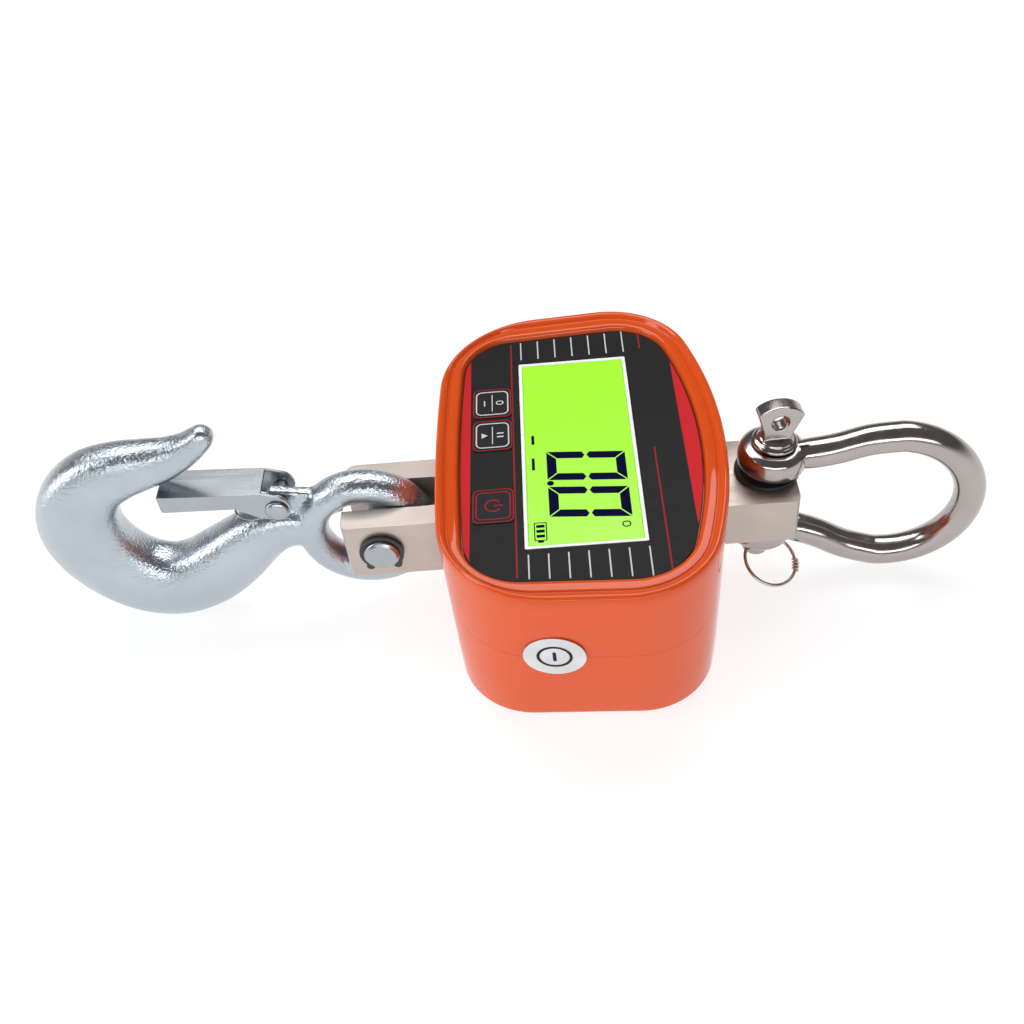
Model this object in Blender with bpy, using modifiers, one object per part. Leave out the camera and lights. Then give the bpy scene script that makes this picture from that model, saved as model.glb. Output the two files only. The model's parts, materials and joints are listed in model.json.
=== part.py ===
"""Industrial hanging scale: a load cell bar runs through a two-part cast case, with a swivelling
safety hook on a clevis pin at one end and a bow shackle on a screw pin at the other.

The scale lies on its back with the display up. X runs along the load from hook to shackle, Z is up
out of the display, and the origin is the middle of the rear face. Sizes are in mm and turn into
metres where a mesh is made.
"""

import math

import bmesh
import bpy
from mathutils import Matrix, Vector

MM = 0.001
GAP = 0.3                    # clearance left between touching pieces

# Levels above the rear face
REAR_Z = 0.0
LOAD_Z = 40.0                # load axis: clevis pin, lug and the split between the housings
BOARD_Z = 59.0               # underside of the circuit board
CEILING_Z = 68.3             # inside of the front housing
FLOOR_Z = 69.9               # its recessed outside, under the display overlay
PANEL_Z = 71.0               # top of the display overlay
RIM_Z = 74.1                 # highest line of the front rim

# Plan outline of the display overlay
HOOK_SIDE_X = -45.1
HOOK_SIDE_RADIUS = 800.0
SHACKLE_SIDE_X = 45.5
SHACKLE_SIDE_RADIUS = 185.0
SIDE_Y = 68.2                # half height of the overlay at X = 0
SIDE_SLOPE = math.radians(3.4)
HOOK_CORNER = 20.0
SHACKLE_CORNER = 22.0

# Housings. How far the outside stands out from the overlay's edge at each end and each long side,
# and how much the corner radii have grown there.
RIM_ENDS, RIM_SIDES = 9.3, 11.5
RIM_HOOK_CORNER, RIM_SHACKLE_CORNER = 23.0, 13.0
REAR_ENDS, REAR_SIDES = 7.2, 5.2
REAR_HOOK_CORNER, REAR_SHACKLE_CORNER = 9.0, 6.0
WALL = 3.2

# Load cell bar
BAR_HALF_Y = 18.2
FORK_HALF_Z = 13.15
LUG_HALF_Z = 10.4
FORK_END_X = -93.5
LUG_END_X = 82.3
LUG_START_X = 40.0
SLOT_HALF = 8.0
SLOT_END_X = -51.5

# Hook, its pin and its latch
CLEVIS_X = -79.0
CLEVIS_RADIUS = 7.0
CLEVIS_HALF_LENGTH = 21.6
CIRCLIP_Y = 19.3             # middle of each circlip
EYE_X, EYE_Z = -86.4, 36.2   # the eye hangs off centre on its pin
EYE_RADIUS = 22.2            # to the middle of the eye's section
EYE_WIRE, EYE_HALF_Y = 6.6, 7.4
RIVET_X, RIVET_Z = -118.0, 56.4
RIVET_HEAD = 4.6
LATCH_HALF_Y = 7.8
LATCH_SHEET = 1.2
LATCH_TIP_X, LATCH_TIP_Z = -162.6, 67.4
LATCH_HEEL_X, LATCH_HEEL_Z = -122.9, 65.0

# Shackle
SHACKLE_X = 72.0
SHACKLE_TILT = math.radians(4.5)   # the pin leans in its oversize bore
BOW_SWING = math.radians(-6.0)     # the bow rests swung a little about its pin
PIN_TURN = math.radians(6.0)
WIRE_RADIUS = 6.0
JAW_HALF = 13.4
JAW_SHIFT = 0.4              # middle of the jaw above the load axis
EAR_RADIUS = 13.1
EAR_THICK = 10.6
SHACKLE_PIN_RADIUS = 6.0
BOW_RADIUS = 30.7
BOW_CENTRE = 47.0            # from the pin axis to the middle of the bow's round end
PIN_TIP_RADIUS = 5.3
RING_RADIUS = 11.0
RING_WIRE = 0.7
RING_HEADING = math.radians(-55)   # from the pin towards the ring's middle, measured from +X
RING_DROOP = math.radians(24)
RING_HOLE_DROP = 28.6              # cross hole below the load axis

# Display and keys
LCD_X, LCD_Y = 44.0, 104.2
LCD_BORDER = 1.3
KEY_X, KEY_Y = 15.6, 17.6
KEY_CENTRE_X = -32.6
KEY_ROWS = {"tare_key": 28.2, "hold_key": 9.0, "power_key": -29.4}

# Fasteners and cells
HOUSING_SCREWS = [(-37.0, -58.0), (-37.0, 58.0), (36.0, 58.5), (36.0, -58.5)]
BOARD_SCREWS = [(-33.0, -44.0), (-33.0, 44.0), (31.0, 44.0), (31.0, -44.0)]
LOAD_CELL_SCREWS = [24.0, 36.0]
CELL_ROWS = [-27.9, -42.6, -57.3]
CELL_RADIUS, CELL_LENGTH = 7.05, 50.0
CELL_X, CELL_Z = 0.0, 12.6
STICKER_RADIUS, STICKER_X, STICKER_Z = 11.2, -14.2, 41.4

COLOURS = {
    "case_orange": ((0.80, 0.13, 0.03), 0.28, 0.0),
    "overlay_black": ((0.02, 0.02, 0.022), 0.45, 0.0),
    "white_plastic": ((0.85, 0.86, 0.84), 0.4, 0.0),
    "lcd_green": ((0.45, 1.0, 0.03), 0.2, 0.0),
    "nickel_steel": ((0.62, 0.57, 0.52), 0.35, 1.0),
    "zinc_steel": ((0.62, 0.67, 0.72), 0.4, 1.0),
    "stainless": ((0.70, 0.69, 0.68), 0.15, 1.0),
    "black_steel": ((0.03, 0.03, 0.03), 0.4, 0.6),
    "rubber": ((0.02, 0.02, 0.02), 0.8, 0.0),
    "board_green": ((0.02, 0.16, 0.06), 0.5, 0.0),
    "key_black": ((0.03, 0.03, 0.032), 0.5, 0.0),
    "switch_black": ((0.05, 0.05, 0.05), 0.5, 0.0),
    "cell_wrap": ((0.10, 0.12, 0.16), 0.35, 0.2),
    "wire_red": ((0.6, 0.03, 0.02), 0.5, 0.0),
    "wire_black": ((0.02, 0.02, 0.02), 0.5, 0.0),
    "cable_grey": ((0.35, 0.35, 0.36), 0.5, 0.0),
    "sticker_white": ((0.85, 0.85, 0.86), 0.5, 0.0),
}


# ---------------------------------------------------------------- scene helpers

def clear_scene():
    for obj in list(bpy.data.objects):
        bpy.data.objects.remove(obj)


def new_collection(name):
    group = bpy.data.collections.new(name)
    bpy.context.scene.collection.children.link(group)
    return group


def material(name):
    found = bpy.data.materials.get(name)
    if found:
        return found
    colour, roughness, metallic = COLOURS[name]
    made = bpy.data.materials.new(name)
    made.use_nodes = True
    shader = made.node_tree.nodes["Principled BSDF"]
    shader.inputs["Base Color"].default_value = (*colour, 1.0)
    shader.inputs["Roughness"].default_value = roughness
    shader.inputs["Metallic"].default_value = metallic
    return made


def add_object(name, data, look, origin=(0, 0, 0), parent=None):
    """A part whose mesh was drawn in the parent's frame, with its origin moved to `origin`."""
    obj = bpy.data.objects.new(name, data)
    PARTS.objects.link(obj)
    data.materials.append(material(look))
    data.transform(Matrix.Translation(-Vector(origin) * MM))
    obj.location = Vector(origin) * MM
    obj.parent = parent
    return obj


def add_cutter(name, data, parent=None):
    obj = bpy.data.objects.new(name, data)
    CUTTERS.objects.link(obj)
    obj.hide_render = True
    obj.display_type = "WIRE"
    obj.parent = parent
    return obj


def combine(target, operation, data, parent=None):
    """Cuts `data` from the target, or joins it on."""
    number = len(target.modifiers)
    step = target.modifiers.new(f"{operation.lower()}_{number}", "BOOLEAN")
    step.operation = operation
    step.solver = "EXACT"
    step.object = add_cutter(f"{target.name}_tool_{number}", data, parent)


# ---------------------------------------------------------------- mesh helpers

ALONG = {
    "Z": Matrix.Identity(4),
    "Y": Matrix(((1, 0, 0, 0), (0, 0, 1, 0), (0, 1, 0, 0), (0, 0, 0, 1))),
    "X": Matrix(((0, 0, 1, 0), (1, 0, 0, 0), (0, 1, 0, 0), (0, 0, 0, 1))),
}


def closed(data):
    """Welds the loose seams of a mesh and turns its faces outwards."""
    build = bmesh.new()
    build.from_mesh(data)
    bmesh.ops.remove_doubles(build, verts=build.verts, dist=0.001 * MM)
    bmesh.ops.recalc_face_normals(build, faces=build.faces)
    build.to_mesh(data)
    build.free()
    return data


def evaluated(data, prepare=None):
    """The closed mesh that a curve, or a mesh with the modifiers that `prepare` adds, turns into."""
    guide = bpy.data.objects.new("guide", data)
    bpy.context.scene.collection.objects.link(guide)
    if prepare:
        prepare(guide)
    bpy.context.view_layer.update()
    made = bpy.data.meshes.new_from_object(guide.evaluated_get(bpy.context.evaluated_depsgraph_get()))
    bpy.data.objects.remove(guide)
    made.materials.clear()
    return closed(made)


def loft(rings, loop=False):
    """Skins unlike sections, given as equal rings of points, capped at both ends or closed into a loop."""
    count = len(rings[0])
    build = bmesh.new()
    made = [[build.verts.new(Vector(p) * MM) for p in ring] for ring in rings]
    for i in range(len(rings) if loop else len(rings) - 1):
        a, b = made[i], made[(i + 1) % len(rings)]
        for j in range(count):
            k = (j + 1) % count
            build.faces.new((a[j], a[k], b[k], b[j]))
    if not loop:
        build.faces.new(made[0])
        build.faces.new(made[-1])
    data = bpy.data.meshes.new("loft")
    build.to_mesh(data)
    build.free()
    return closed(data)


def prism(outline, low, high, axis="Z"):
    """A flat outline extruded from low to high: (x, y) pairs along Z, (x, z) along Y, (y, z) along X."""
    curve = bpy.data.curves.new("outline", "CURVE")
    curve.dimensions = "2D"
    curve.fill_mode = "BOTH"
    curve.extrude = (high - low) / 2 * MM
    spline = curve.splines.new("POLY")
    spline.points.add(len(outline) - 1)
    for point, (u, v) in zip(spline.points, outline):
        point.co = (u * MM, v * MM, 0.0, 1.0)
    spline.use_cyclic_u = True
    data = evaluated(curve)
    data.transform(ALONG[axis] @ Matrix.Translation((0, 0, (high + low) / 2 * MM)))
    return closed(data)


def box(x0, x1, y0, y1, z0, z1):
    build = bmesh.new()
    size = Matrix.Diagonal(((x1 - x0) * MM, (y1 - y0) * MM, (z1 - z0) * MM, 1))
    middle = Matrix.Translation(Vector((x0 + x1, y0 + y1, z0 + z1)) * MM / 2)
    bmesh.ops.create_cube(build, size=1.0, matrix=middle @ size)
    data = bpy.data.meshes.new("box")
    build.to_mesh(data)
    build.free()
    return data


def rod(radius, low, high, centre, axis="Z", steps=20):
    """A cylinder from low to high along an axis, measured from centre."""
    build = bmesh.new()
    wide = radius * MM
    tall = (high - low) * MM
    bmesh.ops.create_cone(build, cap_ends=True, segments=steps, radius1=wide, radius2=wide, depth=tall)
    data = bpy.data.meshes.new("rod")
    build.to_mesh(data)
    build.free()
    data.transform(ALONG[axis] @ Matrix.Translation((0, 0, (high + low) / 2 * MM)))
    data.transform(Matrix.Translation(Vector(centre) * MM))
    return closed(data)


def turned(profile, centre, axis="Z", steps=20):
    """A solid of revolution from (radius, height) pairs, measured from centre."""
    line = [(0.0, profile[0][1])] + list(profile) + [(0.0, profile[-1][1])]
    data = bpy.data.meshes.new("profile")
    data.from_pydata([(r * MM, 0, h * MM) for r, h in line], [(i, i + 1) for i in range(len(line) - 1)], [])

    def spin(guide):
        screw_step = guide.modifiers.new("turn", "SCREW")
        screw_step.steps = steps
        screw_step.render_steps = steps
        screw_step.use_merge_vertices = True
        screw_step.merge_threshold = 0.001 * MM

    made = evaluated(data, spin)
    made.transform(ALONG[axis])
    made.transform(Matrix.Translation(Vector(centre) * MM))
    return closed(made)


def arc(cx, cy, radius, start, end, steps):
    """Points along an arc between two angles in degrees, both ends included."""
    angles = [math.radians(start + (end - start) * i / steps) for i in range(steps + 1)]
    return [(cx + radius * math.cos(a), cy + radius * math.sin(a)) for a in angles]


def circle(cx, cy, radius, steps=20):
    return arc(cx, cy, radius, 0, 360 - 360 / steps, steps - 1)


def rounded_box(cx, cy, width, height, radius, steps=4):
    points = []
    for sx, sy, start in ((1, 1, 0), (-1, 1, 90), (-1, -1, 180), (1, -1, 270)):
        corner_x = cx + sx * (width / 2 - radius)
        corner_y = cy + sy * (height / 2 - radius)
        points += arc(corner_x, corner_y, radius, start, start + 90, steps)
    return points


def turned(profile, centre, axis="Z", steps=20):
    """A solid of revolution. The profile is (radius, height) pairs from one end to the other."""
    rings = []
    for radius, height in profile:
        ring = []
        for u, v in circle(0, 0, radius, steps):
            offset = {"Z": (u, v, height), "Y": (u, height, v), "X": (height, u, v)}[axis]
            ring.append(tuple(c + o for c, o in zip(centre, offset)))
        rings.append(ring)
    return loft(rings)


def rod(radius, low, high, centre, axis="Z", steps=20, chamfer=0.0):
    """A cylinder along an axis through centre, with both ends chamfered if asked."""
    if not chamfer:
        return turned([(radius, low), (radius, high)], centre, axis, steps)
    small = radius - chamfer
    profile = [(small, low), (radius, low + chamfer), (radius, high - chamfer), (small, high)]
    return turned(profile, centre, axis, steps)


def smooth_path(points, steps):
    """A Catmull-Rom curve through the points, each a tuple of any length."""
    ends = [points[0]] + list(points) + [points[-1]]
    path = []
    for i in range(1, len(ends) - 2):
        near = ends[i - 1:i + 3]
        for j in range(steps):
            t = j / steps
            weights = (-t + 2 * t**2 - t**3, 2 - 5 * t**2 + 3 * t**3, t + 4 * t**2 - 3 * t**3, t**3 - t**2)
            path.append(tuple(sum(w * v for w, v in zip(weights, values)) / 2 for values in zip(*near)))
    path.append(tuple(points[-1]))
    return path


def sweep(path, widths, sides=14):
    """A changing oval section swept along a path in the XZ plane, given its half sizes there and in Y."""
    rings = []
    for i, (x, z) in enumerate(path):
        before, after = path[max(i - 1, 0)], path[min(i + 1, len(path) - 1)]
        along = math.atan2(after[1] - before[1], after[0] - before[0])
        across = (-math.sin(along), math.cos(along))
        half_in, half_y = widths[i]
        ring = []
        for u, v in circle(0, 0, 1.0, sides):
            ring.append((x + across[0] * u * half_in, v * half_y, z + across[1] * u * half_in))
        rings.append(ring)
    return loft(rings)


def wire_curve(points, radius, resolution=2, cyclic=False, radii=None):
    """A round wire along a list of points, which may thin out by a list of factors."""
    curve = bpy.data.curves.new("wire", "CURVE")
    curve.dimensions = "3D"
    curve.bevel_depth = radius * MM
    curve.bevel_resolution = resolution
    curve.use_fill_caps = not cyclic
    spline = curve.splines.new("POLY")
    spline.points.add(len(points) - 1)
    for i, point in enumerate(points):
        spline.points[i].co = (*(Vector(point) * MM), 1.0)
        spline.points[i].radius = radii[i] if radii else 1.0
    spline.use_cyclic_u = cyclic
    return curve


# ---------------------------------------------------------------- case outline

def corner_centre(side_y, corner, arc_x, arc_reach, side):
    """Centre of a corner circle that touches the sloped side and sits `arc_reach` from (arc_x, 0)."""
    along = Vector((math.cos(SIDE_SLOPE), math.sin(SIDE_SLOPE)))
    outward = Vector((-along.y, along.x))
    start = Vector((0.0, side_y)) - outward * corner
    gap = start - Vector((arc_x, 0.0))
    b = gap.dot(along)
    root = math.sqrt(b * b - gap.dot(gap) + arc_reach**2)
    return start + along * (-b + side * root)


def case_outline(z, ends, sides, hook_growth, shackle_growth):
    """One ring of the case, outside the overlay's edge by `ends` in X and `sides` in Y."""
    side_y = SIDE_Y + sides
    hook_corner = HOOK_CORNER + hook_growth
    shackle_corner = SHACKLE_CORNER + shackle_growth
    hook_radius = HOOK_SIDE_RADIUS + ends
    shackle_radius = SHACKLE_SIDE_RADIUS + ends
    hook_x = HOOK_SIDE_X + HOOK_SIDE_RADIUS
    shackle_x = SHACKLE_SIDE_X - SHACKLE_SIDE_RADIUS
    hook_at = corner_centre(side_y, hook_corner, hook_x, hook_radius - hook_corner, -1)
    shackle_at = corner_centre(side_y, shackle_corner, shackle_x, shackle_radius - shackle_corner, 1)
    top = 90 + math.degrees(SIDE_SLOPE)
    shackle_turn = math.degrees(math.atan2(shackle_at.y, shackle_at.x - shackle_x))
    hook_turn = math.degrees(math.atan2(hook_at.y, hook_at.x - hook_x))
    far = arc(shackle_x, 0, shackle_radius, 0, shackle_turn, 4)[1:-1]
    far += arc(*shackle_at, shackle_corner, shackle_turn, top, 6)
    far += arc(*hook_at, hook_corner, top, hook_turn, 6)
    far += arc(hook_x, 0, hook_radius, hook_turn, 180, 2)[1:-1]
    near = [(x, -y) for x, y in reversed(far)]
    shackle_tip = (SHACKLE_SIDE_X + ends, 0.0)
    hook_tip = (HOOK_SIDE_X - ends, 0.0)
    return [(x, y, z) for x, y in [shackle_tip] + far + [hook_tip] + near]


def rim_ring(share, z):
    """A ring of the front rim, from 0 at the overlay's edge to 1 at the outside."""
    return case_outline(
        z, share * RIM_ENDS, share * RIM_SIDES, share * RIM_HOOK_CORNER, share * RIM_SHACKLE_CORNER
    )


def wall_ring(z, inset=0.0):
    """A ring of the drafted wall, which draws in towards the rear, or one `inset` inside it."""
    share = (PANEL_Z + 1 - z) / (PANEL_Z + 1 - REAR_Z)
    grown = [
        rim + (rear - rim) * share - inset
        for rim, rear in (
            (RIM_ENDS, REAR_ENDS), (RIM_SIDES, REAR_SIDES),
            (RIM_HOOK_CORNER, REAR_HOOK_CORNER), (RIM_SHACKLE_CORNER, REAR_SHACKLE_CORNER),
        )
    ]
    return case_outline(z, *grown)


# ---------------------------------------------------------------- housings

def seat(x, radius, low, high, y=0.0):
    return rod(radius, low, high, (x, y, 0), steps=12)


def openings():
    """Cutters for the holes that the load cell and its seals pass through."""
    cutters = []
    for x0, x1, half_z in ((-60, -40, FORK_HALF_Z), (40, 62, LUG_HALF_Z)):
        reach_y, reach_z = BAR_HALF_Y + 3, half_z + 3
        cutters.append(box(x0, x1, -reach_y, reach_y, LOAD_Z - reach_z, LOAD_Z + reach_z))
    return cutters


def front_housing():
    """The shell that holds the display, with a stepped rim round its recess."""
    bottom = LOAD_Z + GAP / 2
    inside = CEILING_Z
    rim = [
        (1.0, RIM_Z - 2.3), (0.95, RIM_Z - 0.6), (0.8, RIM_Z), (0.65, RIM_Z - 0.4), (0.53, RIM_Z - 1.3),
        (0.38, RIM_Z - 1.1), (0.24, RIM_Z - 1.5), (0.11, RIM_Z - 2.6), (0.03, FLOOR_Z),
    ]
    rings = [wall_ring(inside, WALL), wall_ring(bottom, WALL), wall_ring(bottom)]
    rings += [rim_ring(share, z) for share, z in rim]
    body = add_object("front_housing", loft(rings), "case_orange")
    for x, y in HOUSING_SCREWS:
        combine(body, "UNION", seat(x, 5.0, bottom + 0.2, inside + 0.8, y))
    for x, y in BOARD_SCREWS:
        combine(body, "UNION", seat(x, 3.0, BOARD_Z + 1.9, inside + 0.8, y))
    for x, y in HOUSING_SCREWS:
        combine(body, "DIFFERENCE", seat(x, 2.3, bottom - 1, bottom + 15, y))
    for x, y in BOARD_SCREWS:
        combine(body, "DIFFERENCE", seat(x, 1.5, BOARD_Z, BOARD_Z + 8, y))
    for hole in openings():
        combine(body, "DIFFERENCE", hole)
    window = rounded_box(0, 0, LCD_X + 0.8, LCD_Y + 0.8, 1.0, 2)
    combine(body, "DIFFERENCE", prism(window, inside - 1, FLOOR_Z + 1))
    for row in KEY_ROWS.values():
        combine(body, "DIFFERENCE", seat(KEY_CENTRE_X, 3.0, inside - 1, FLOOR_Z + 1, row))


def battery_opening(grow):
    return rounded_box(CELL_X, CELL_ROWS[1], CELL_LENGTH + 8 + grow, 3 * 14.7 + grow, 3.0 + grow / 2, 2)


def rear_housing():
    top = LOAD_Z - GAP / 2
    inside = REAR_Z + WALL
    rings = [wall_ring(inside, WALL + 1.5), wall_ring(inside + 1.6, WALL)]
    rings += [wall_ring(top, WALL), wall_ring(top)]
    for angle in (0, 30, 60, 90):
        turn = math.radians(angle)
        rings.append(wall_ring(REAR_Z + 3.6 * (1 - math.sin(turn)), 3.6 * (1 - math.cos(turn))))
    body = add_object("rear_housing", loft(rings), "case_orange")
    for x, y in HOUSING_SCREWS:
        combine(body, "UNION", seat(x, 5.4, inside - 1, top - 0.2, y))
    for x in LOAD_CELL_SCREWS:
        combine(body, "UNION", seat(x, 5.0, inside - 1, LOAD_Z - FORK_HALF_Z - GAP))
    for x, y in HOUSING_SCREWS:
        hole = [(4.3, REAR_Z - 1), (4.3, REAR_Z + 6), (2.4, REAR_Z + 6.01), (2.4, top + 1)]
        combine(body, "DIFFERENCE", turned(hole, (x, y, 0), steps=12))
    for x in LOAD_CELL_SCREWS:
        hole = [(5.2, REAR_Z - 1), (5.2, REAR_Z + 1.6), (2.9, REAR_Z + 1.61), (2.9, LOAD_Z)]
        combine(body, "DIFFERENCE", turned(hole, (x, 0, 0), steps=12))
    for hole in openings():
        combine(body, "DIFFERENCE", hole)
    combine(body, "DIFFERENCE", prism(battery_opening(0), REAR_Z - 1, inside + 1))
    combine(body, "DIFFERENCE", prism(battery_opening(3), REAR_Z - 1, REAR_Z + 1.8))
    combine(body, "DIFFERENCE", gasket_loop(1.0, top - 1.3, top + 1))


def gasket_loop(half_width, low, high):
    """The square loop of the gasket, or of the groove that holds it."""
    middle = WALL / 2
    corners = [(half_width, low), (-half_width, low), (-half_width, high), (half_width, high)]
    return loft([wall_ring(z, middle + inset) for inset, z in corners], loop=True)


def gaskets():
    """One strip on each side: the load cell's seals close the two gaps between them."""
    top = LOAD_Z - GAP / 2
    for name, side in (("gasket_near", -1), ("gasket_far", 1)):
        strip = add_object(name, gasket_loop(0.7, top - 1.0, top - 0.05), "rubber")
        low, high = sorted((side * (BAR_HALF_Y + 4.0), side * 100.0))
        combine(strip, "INTERSECT", box(-100, 100, low, high, 0, 100))


def seal(name, outer_x, inner_x, half_z):
    """A rubber frame round the load cell in a housing opening."""
    half_y = BAR_HALF_Y + 3 - GAP
    outer = rounded_box(0, LOAD_Z, 2 * half_y, 2 * (half_z + 3 - GAP), 0.5, 2)
    ring = add_object(name, prism(outer, outer_x, inner_x, "X"), "rubber")
    hole = rounded_box(0, LOAD_Z, 2 * (BAR_HALF_Y + GAP), 2 * (half_z + GAP), 0.5, 2)
    combine(ring, "DIFFERENCE", prism(hole, outer_x - 20, inner_x + 20, "X"))


def seals():
    hook_wall = min(x for x, _, _ in wall_ring(LOAD_Z - FORK_HALF_Z))
    lug_wall = max(x for x, _, _ in wall_ring(LOAD_Z - LUG_HALF_Z))
    seal("hook_side_seal", hook_wall + 0.6, hook_wall + 4.0, FORK_HALF_Z)
    seal("shackle_side_seal", lug_wall - 4.0, lug_wall - 0.9, LUG_HALF_Z)


def screw(name, x, y, head_z, head_radius, head_height, shank_radius, tip_z, look="stainless"):
    """A pan head screw pointing up, with a cross slot in its head."""
    seat_z = head_z + head_height
    profile = [(head_radius - 0.6, head_z), (head_radius, head_z + 0.6), (head_radius, seat_z)]
    profile += [(shank_radius, seat_z + 0.3), (shank_radius, tip_z - 0.6), (shank_radius - 0.5, tip_z)]
    body = add_object(name, turned(profile, (x, y, 0), steps=10), look)
    arm, half, low, high = head_radius * 0.6, 0.45, head_z - 1, head_z + head_height * 0.55
    combine(body, "DIFFERENCE", box(x - arm, x + arm, y - half, y + half, low, high))
    combine(body, "DIFFERENCE", box(x - half, x + half, y - arm, y + arm, low, high))


def fasteners():
    for number, (x, y) in enumerate(HOUSING_SCREWS, 1):
        screw(f"housing_screw_{number}", x, y, REAR_Z + 2.6, 3.8, 3.0, 2.0, LOAD_Z + 13)
    for number, x in enumerate(LOAD_CELL_SCREWS, 1):
        screw(f"load_cell_screw_{number}", x, 0, REAR_Z + 0.2, 4.8, 1.1, 2.5, LOAD_Z - FORK_HALF_Z + 8)
    for number, (x, y) in enumerate(BOARD_SCREWS, 1):
        screw(f"board_screw_{number}", x, y, BOARD_Z - 1.9, 2.5, 1.6, 1.2, BOARD_Z + 7)


# ---------------------------------------------------------------- display and electronics

def display():
    overlay = add_object(
        "display_overlay",
        loft([rim_ring(0.0, FLOOR_Z + 0.2), rim_ring(0.0, PANEL_Z)]),
        "overlay_black",
    )
    window = rounded_box(0, 0, LCD_X, LCD_Y, 0.6, 2)
    combine(overlay, "DIFFERENCE", prism(window, FLOOR_Z - 1, PANEL_Z + 1))
    for row in KEY_ROWS.values():
        hole = rounded_box(KEY_CENTRE_X, row, KEY_X + 2 * GAP, KEY_Y + 2 * GAP, 2.0 + GAP)
        combine(overlay, "DIFFERENCE", prism(hole, FLOOR_Z - 1, PANEL_Z + 1))

    frame = rounded_box(0, 0, LCD_X - 2 * GAP, LCD_Y - 2 * GAP, 0.5, 2)
    bezel = add_object("lcd_bezel", prism(frame, PANEL_Z - 5.0, PANEL_Z - 0.1), "white_plastic")
    inner_x, inner_y = LCD_X - 2 * GAP - 2 * LCD_BORDER, LCD_Y - 2 * GAP - 2 * LCD_BORDER
    window = rounded_box(0, 0, inner_x, inner_y, 0.3, 2)
    combine(bezel, "DIFFERENCE", prism(window, PANEL_Z - 6, PANEL_Z + 1))

    glass = rounded_box(0, 0, inner_x - 2 * GAP, inner_y - 2 * GAP, 0.3, 2)
    add_object("lcd_glass", prism(glass, PANEL_Z - 3.1, PANEL_Z - 0.3), "lcd_green")
    light_box = box(-21.5, 21.5, -51.5, 51.5, PANEL_Z - 10.0, PANEL_Z - 5.3)
    add_object("lcd_backlight", light_box, "white_plastic")


def keys():
    for name, row in KEY_ROWS.items():
        pad = rounded_box(KEY_CENTRE_X, row, KEY_X, KEY_Y, 2.0)
        centre = (KEY_CENTRE_X, row, PANEL_Z)
        key = add_object(name, prism(pad, FLOOR_Z + 0.7, PANEL_Z + 0.3), "key_black", centre)
        combine(key, "UNION", seat(KEY_CENTRE_X, 2.4, BOARD_Z + 6.0, FLOOR_Z + 0.9, row))
        case = rounded_box(KEY_CENTRE_X, row, 6.2, 6.2, 0.4, 1)
        body = prism(case, BOARD_Z + 1.9, BOARD_Z + 4.8)
        switch = add_object(name.replace("key", "switch"), body, "switch_black")
        combine(switch, "UNION", seat(KEY_CENTRE_X, 1.7, BOARD_Z + 4.5, BOARD_Z + 5.3, row))


def circuit_board():
    outline = rounded_box(-1.0, 0, 77.0, 100.0, 3.0)
    board = add_object("circuit_board", prism(outline, BOARD_Z, BOARD_Z + 1.6), "board_green")
    chips = [(8, 20, 12, 12, 1.6), (-12, 30, 8, 6, 1.4), (20, -20, 9, 5, 3.0), (-8, -26, 6, 6, 1.4)]
    for x, y, width, depth, height in chips:
        u, v = width / 2, depth / 2
        chip = box(x - u, x + u, y - v, y + v, BOARD_Z - height, BOARD_Z + 0.2)
        combine(board, "UNION", chip)
    for x, y in BOARD_SCREWS:
        combine(board, "DIFFERENCE", seat(x, 1.6, BOARD_Z - 1, BOARD_Z + 3, y))


def battery():
    low, high = CELL_Z - 8.0, CELL_Z + 9.0
    mid_y = CELL_ROWS[1]
    half_x, half_y = CELL_LENGTH / 2 + 3.3, 22.9
    tray = box(CELL_X - half_x, CELL_X + half_x, mid_y - half_y, mid_y + half_y, low, high)
    holder = add_object("battery_holder", tray, "switch_black")
    in_x, in_y = half_x - 1.6, half_y - 0.8
    inside = box(CELL_X - in_x, CELL_X + in_x, mid_y - in_y, mid_y + in_y, low - 1, high - 1.4)
    combine(holder, "DIFFERENCE", inside)
    for number, row in enumerate(CELL_ROWS, 1):
        centre = (CELL_X, row, CELL_Z)
        side = 1 if number % 2 else -1
        half = CELL_LENGTH / 2
        profile = [(CELL_RADIUS - 0.6, -half), (CELL_RADIUS, -half + 0.6), (CELL_RADIUS, half - 1.2)]
        profile += [(CELL_RADIUS - 0.6, half - 0.8), (2.6, half - 0.79), (2.6, half + 0.6)]
        cell = turned([(r, side * h) for r, h in profile], centre, "X", steps=16)
        add_object(f"battery_{number}", cell, "cell_wrap")
    plate = prism(battery_opening(3 - 2 * GAP), REAR_Z, REAR_Z + 1.5)
    cover = add_object("battery_cover", plate, "case_orange")
    combine(cover, "UNION", prism(battery_opening(-2 * GAP), REAR_Z + 1.2, REAR_Z + 3.0))


def cables():
    load_cell_route = [(6, 18.6, 40), (6, 21.5, 40), (6, 25, 42.5), (4, 27.5, 47)]
    load_cell_route += [(0, 28, 52), (-3, 27, 56), (-4, 26.5, 58.3)]
    add_object("load_cell_cable", wire_curve(smooth_path(load_cell_route, 2), 1.5), "cable_grey")
    leads = (("battery_lead_red", "wire_red", -12.0), ("battery_lead_black", "wire_black", -6.0))
    for name, look, x in leads:
        route = [(x, -30, 21.9), (x, -30, 27), (x - 1, -32, 35), (x, -35, 43), (x, -36, 51), (x, -36, 58.3)]
        add_object(name, wire_curve(smooth_path(route, 2), 0.9, 1), look)


def near_wall_y(x, z):
    """Y of the near wall's outside, between the corners."""
    ring = [p for p in wall_ring(z) if p[1] < -60]
    left = max((p for p in ring if p[0] < x), key=lambda p: p[0])
    right = min((p for p in ring if p[0] > x), key=lambda p: p[0])
    return left[1] + (x - left[0]) / (right[0] - left[0]) * (right[1] - left[1])


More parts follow.
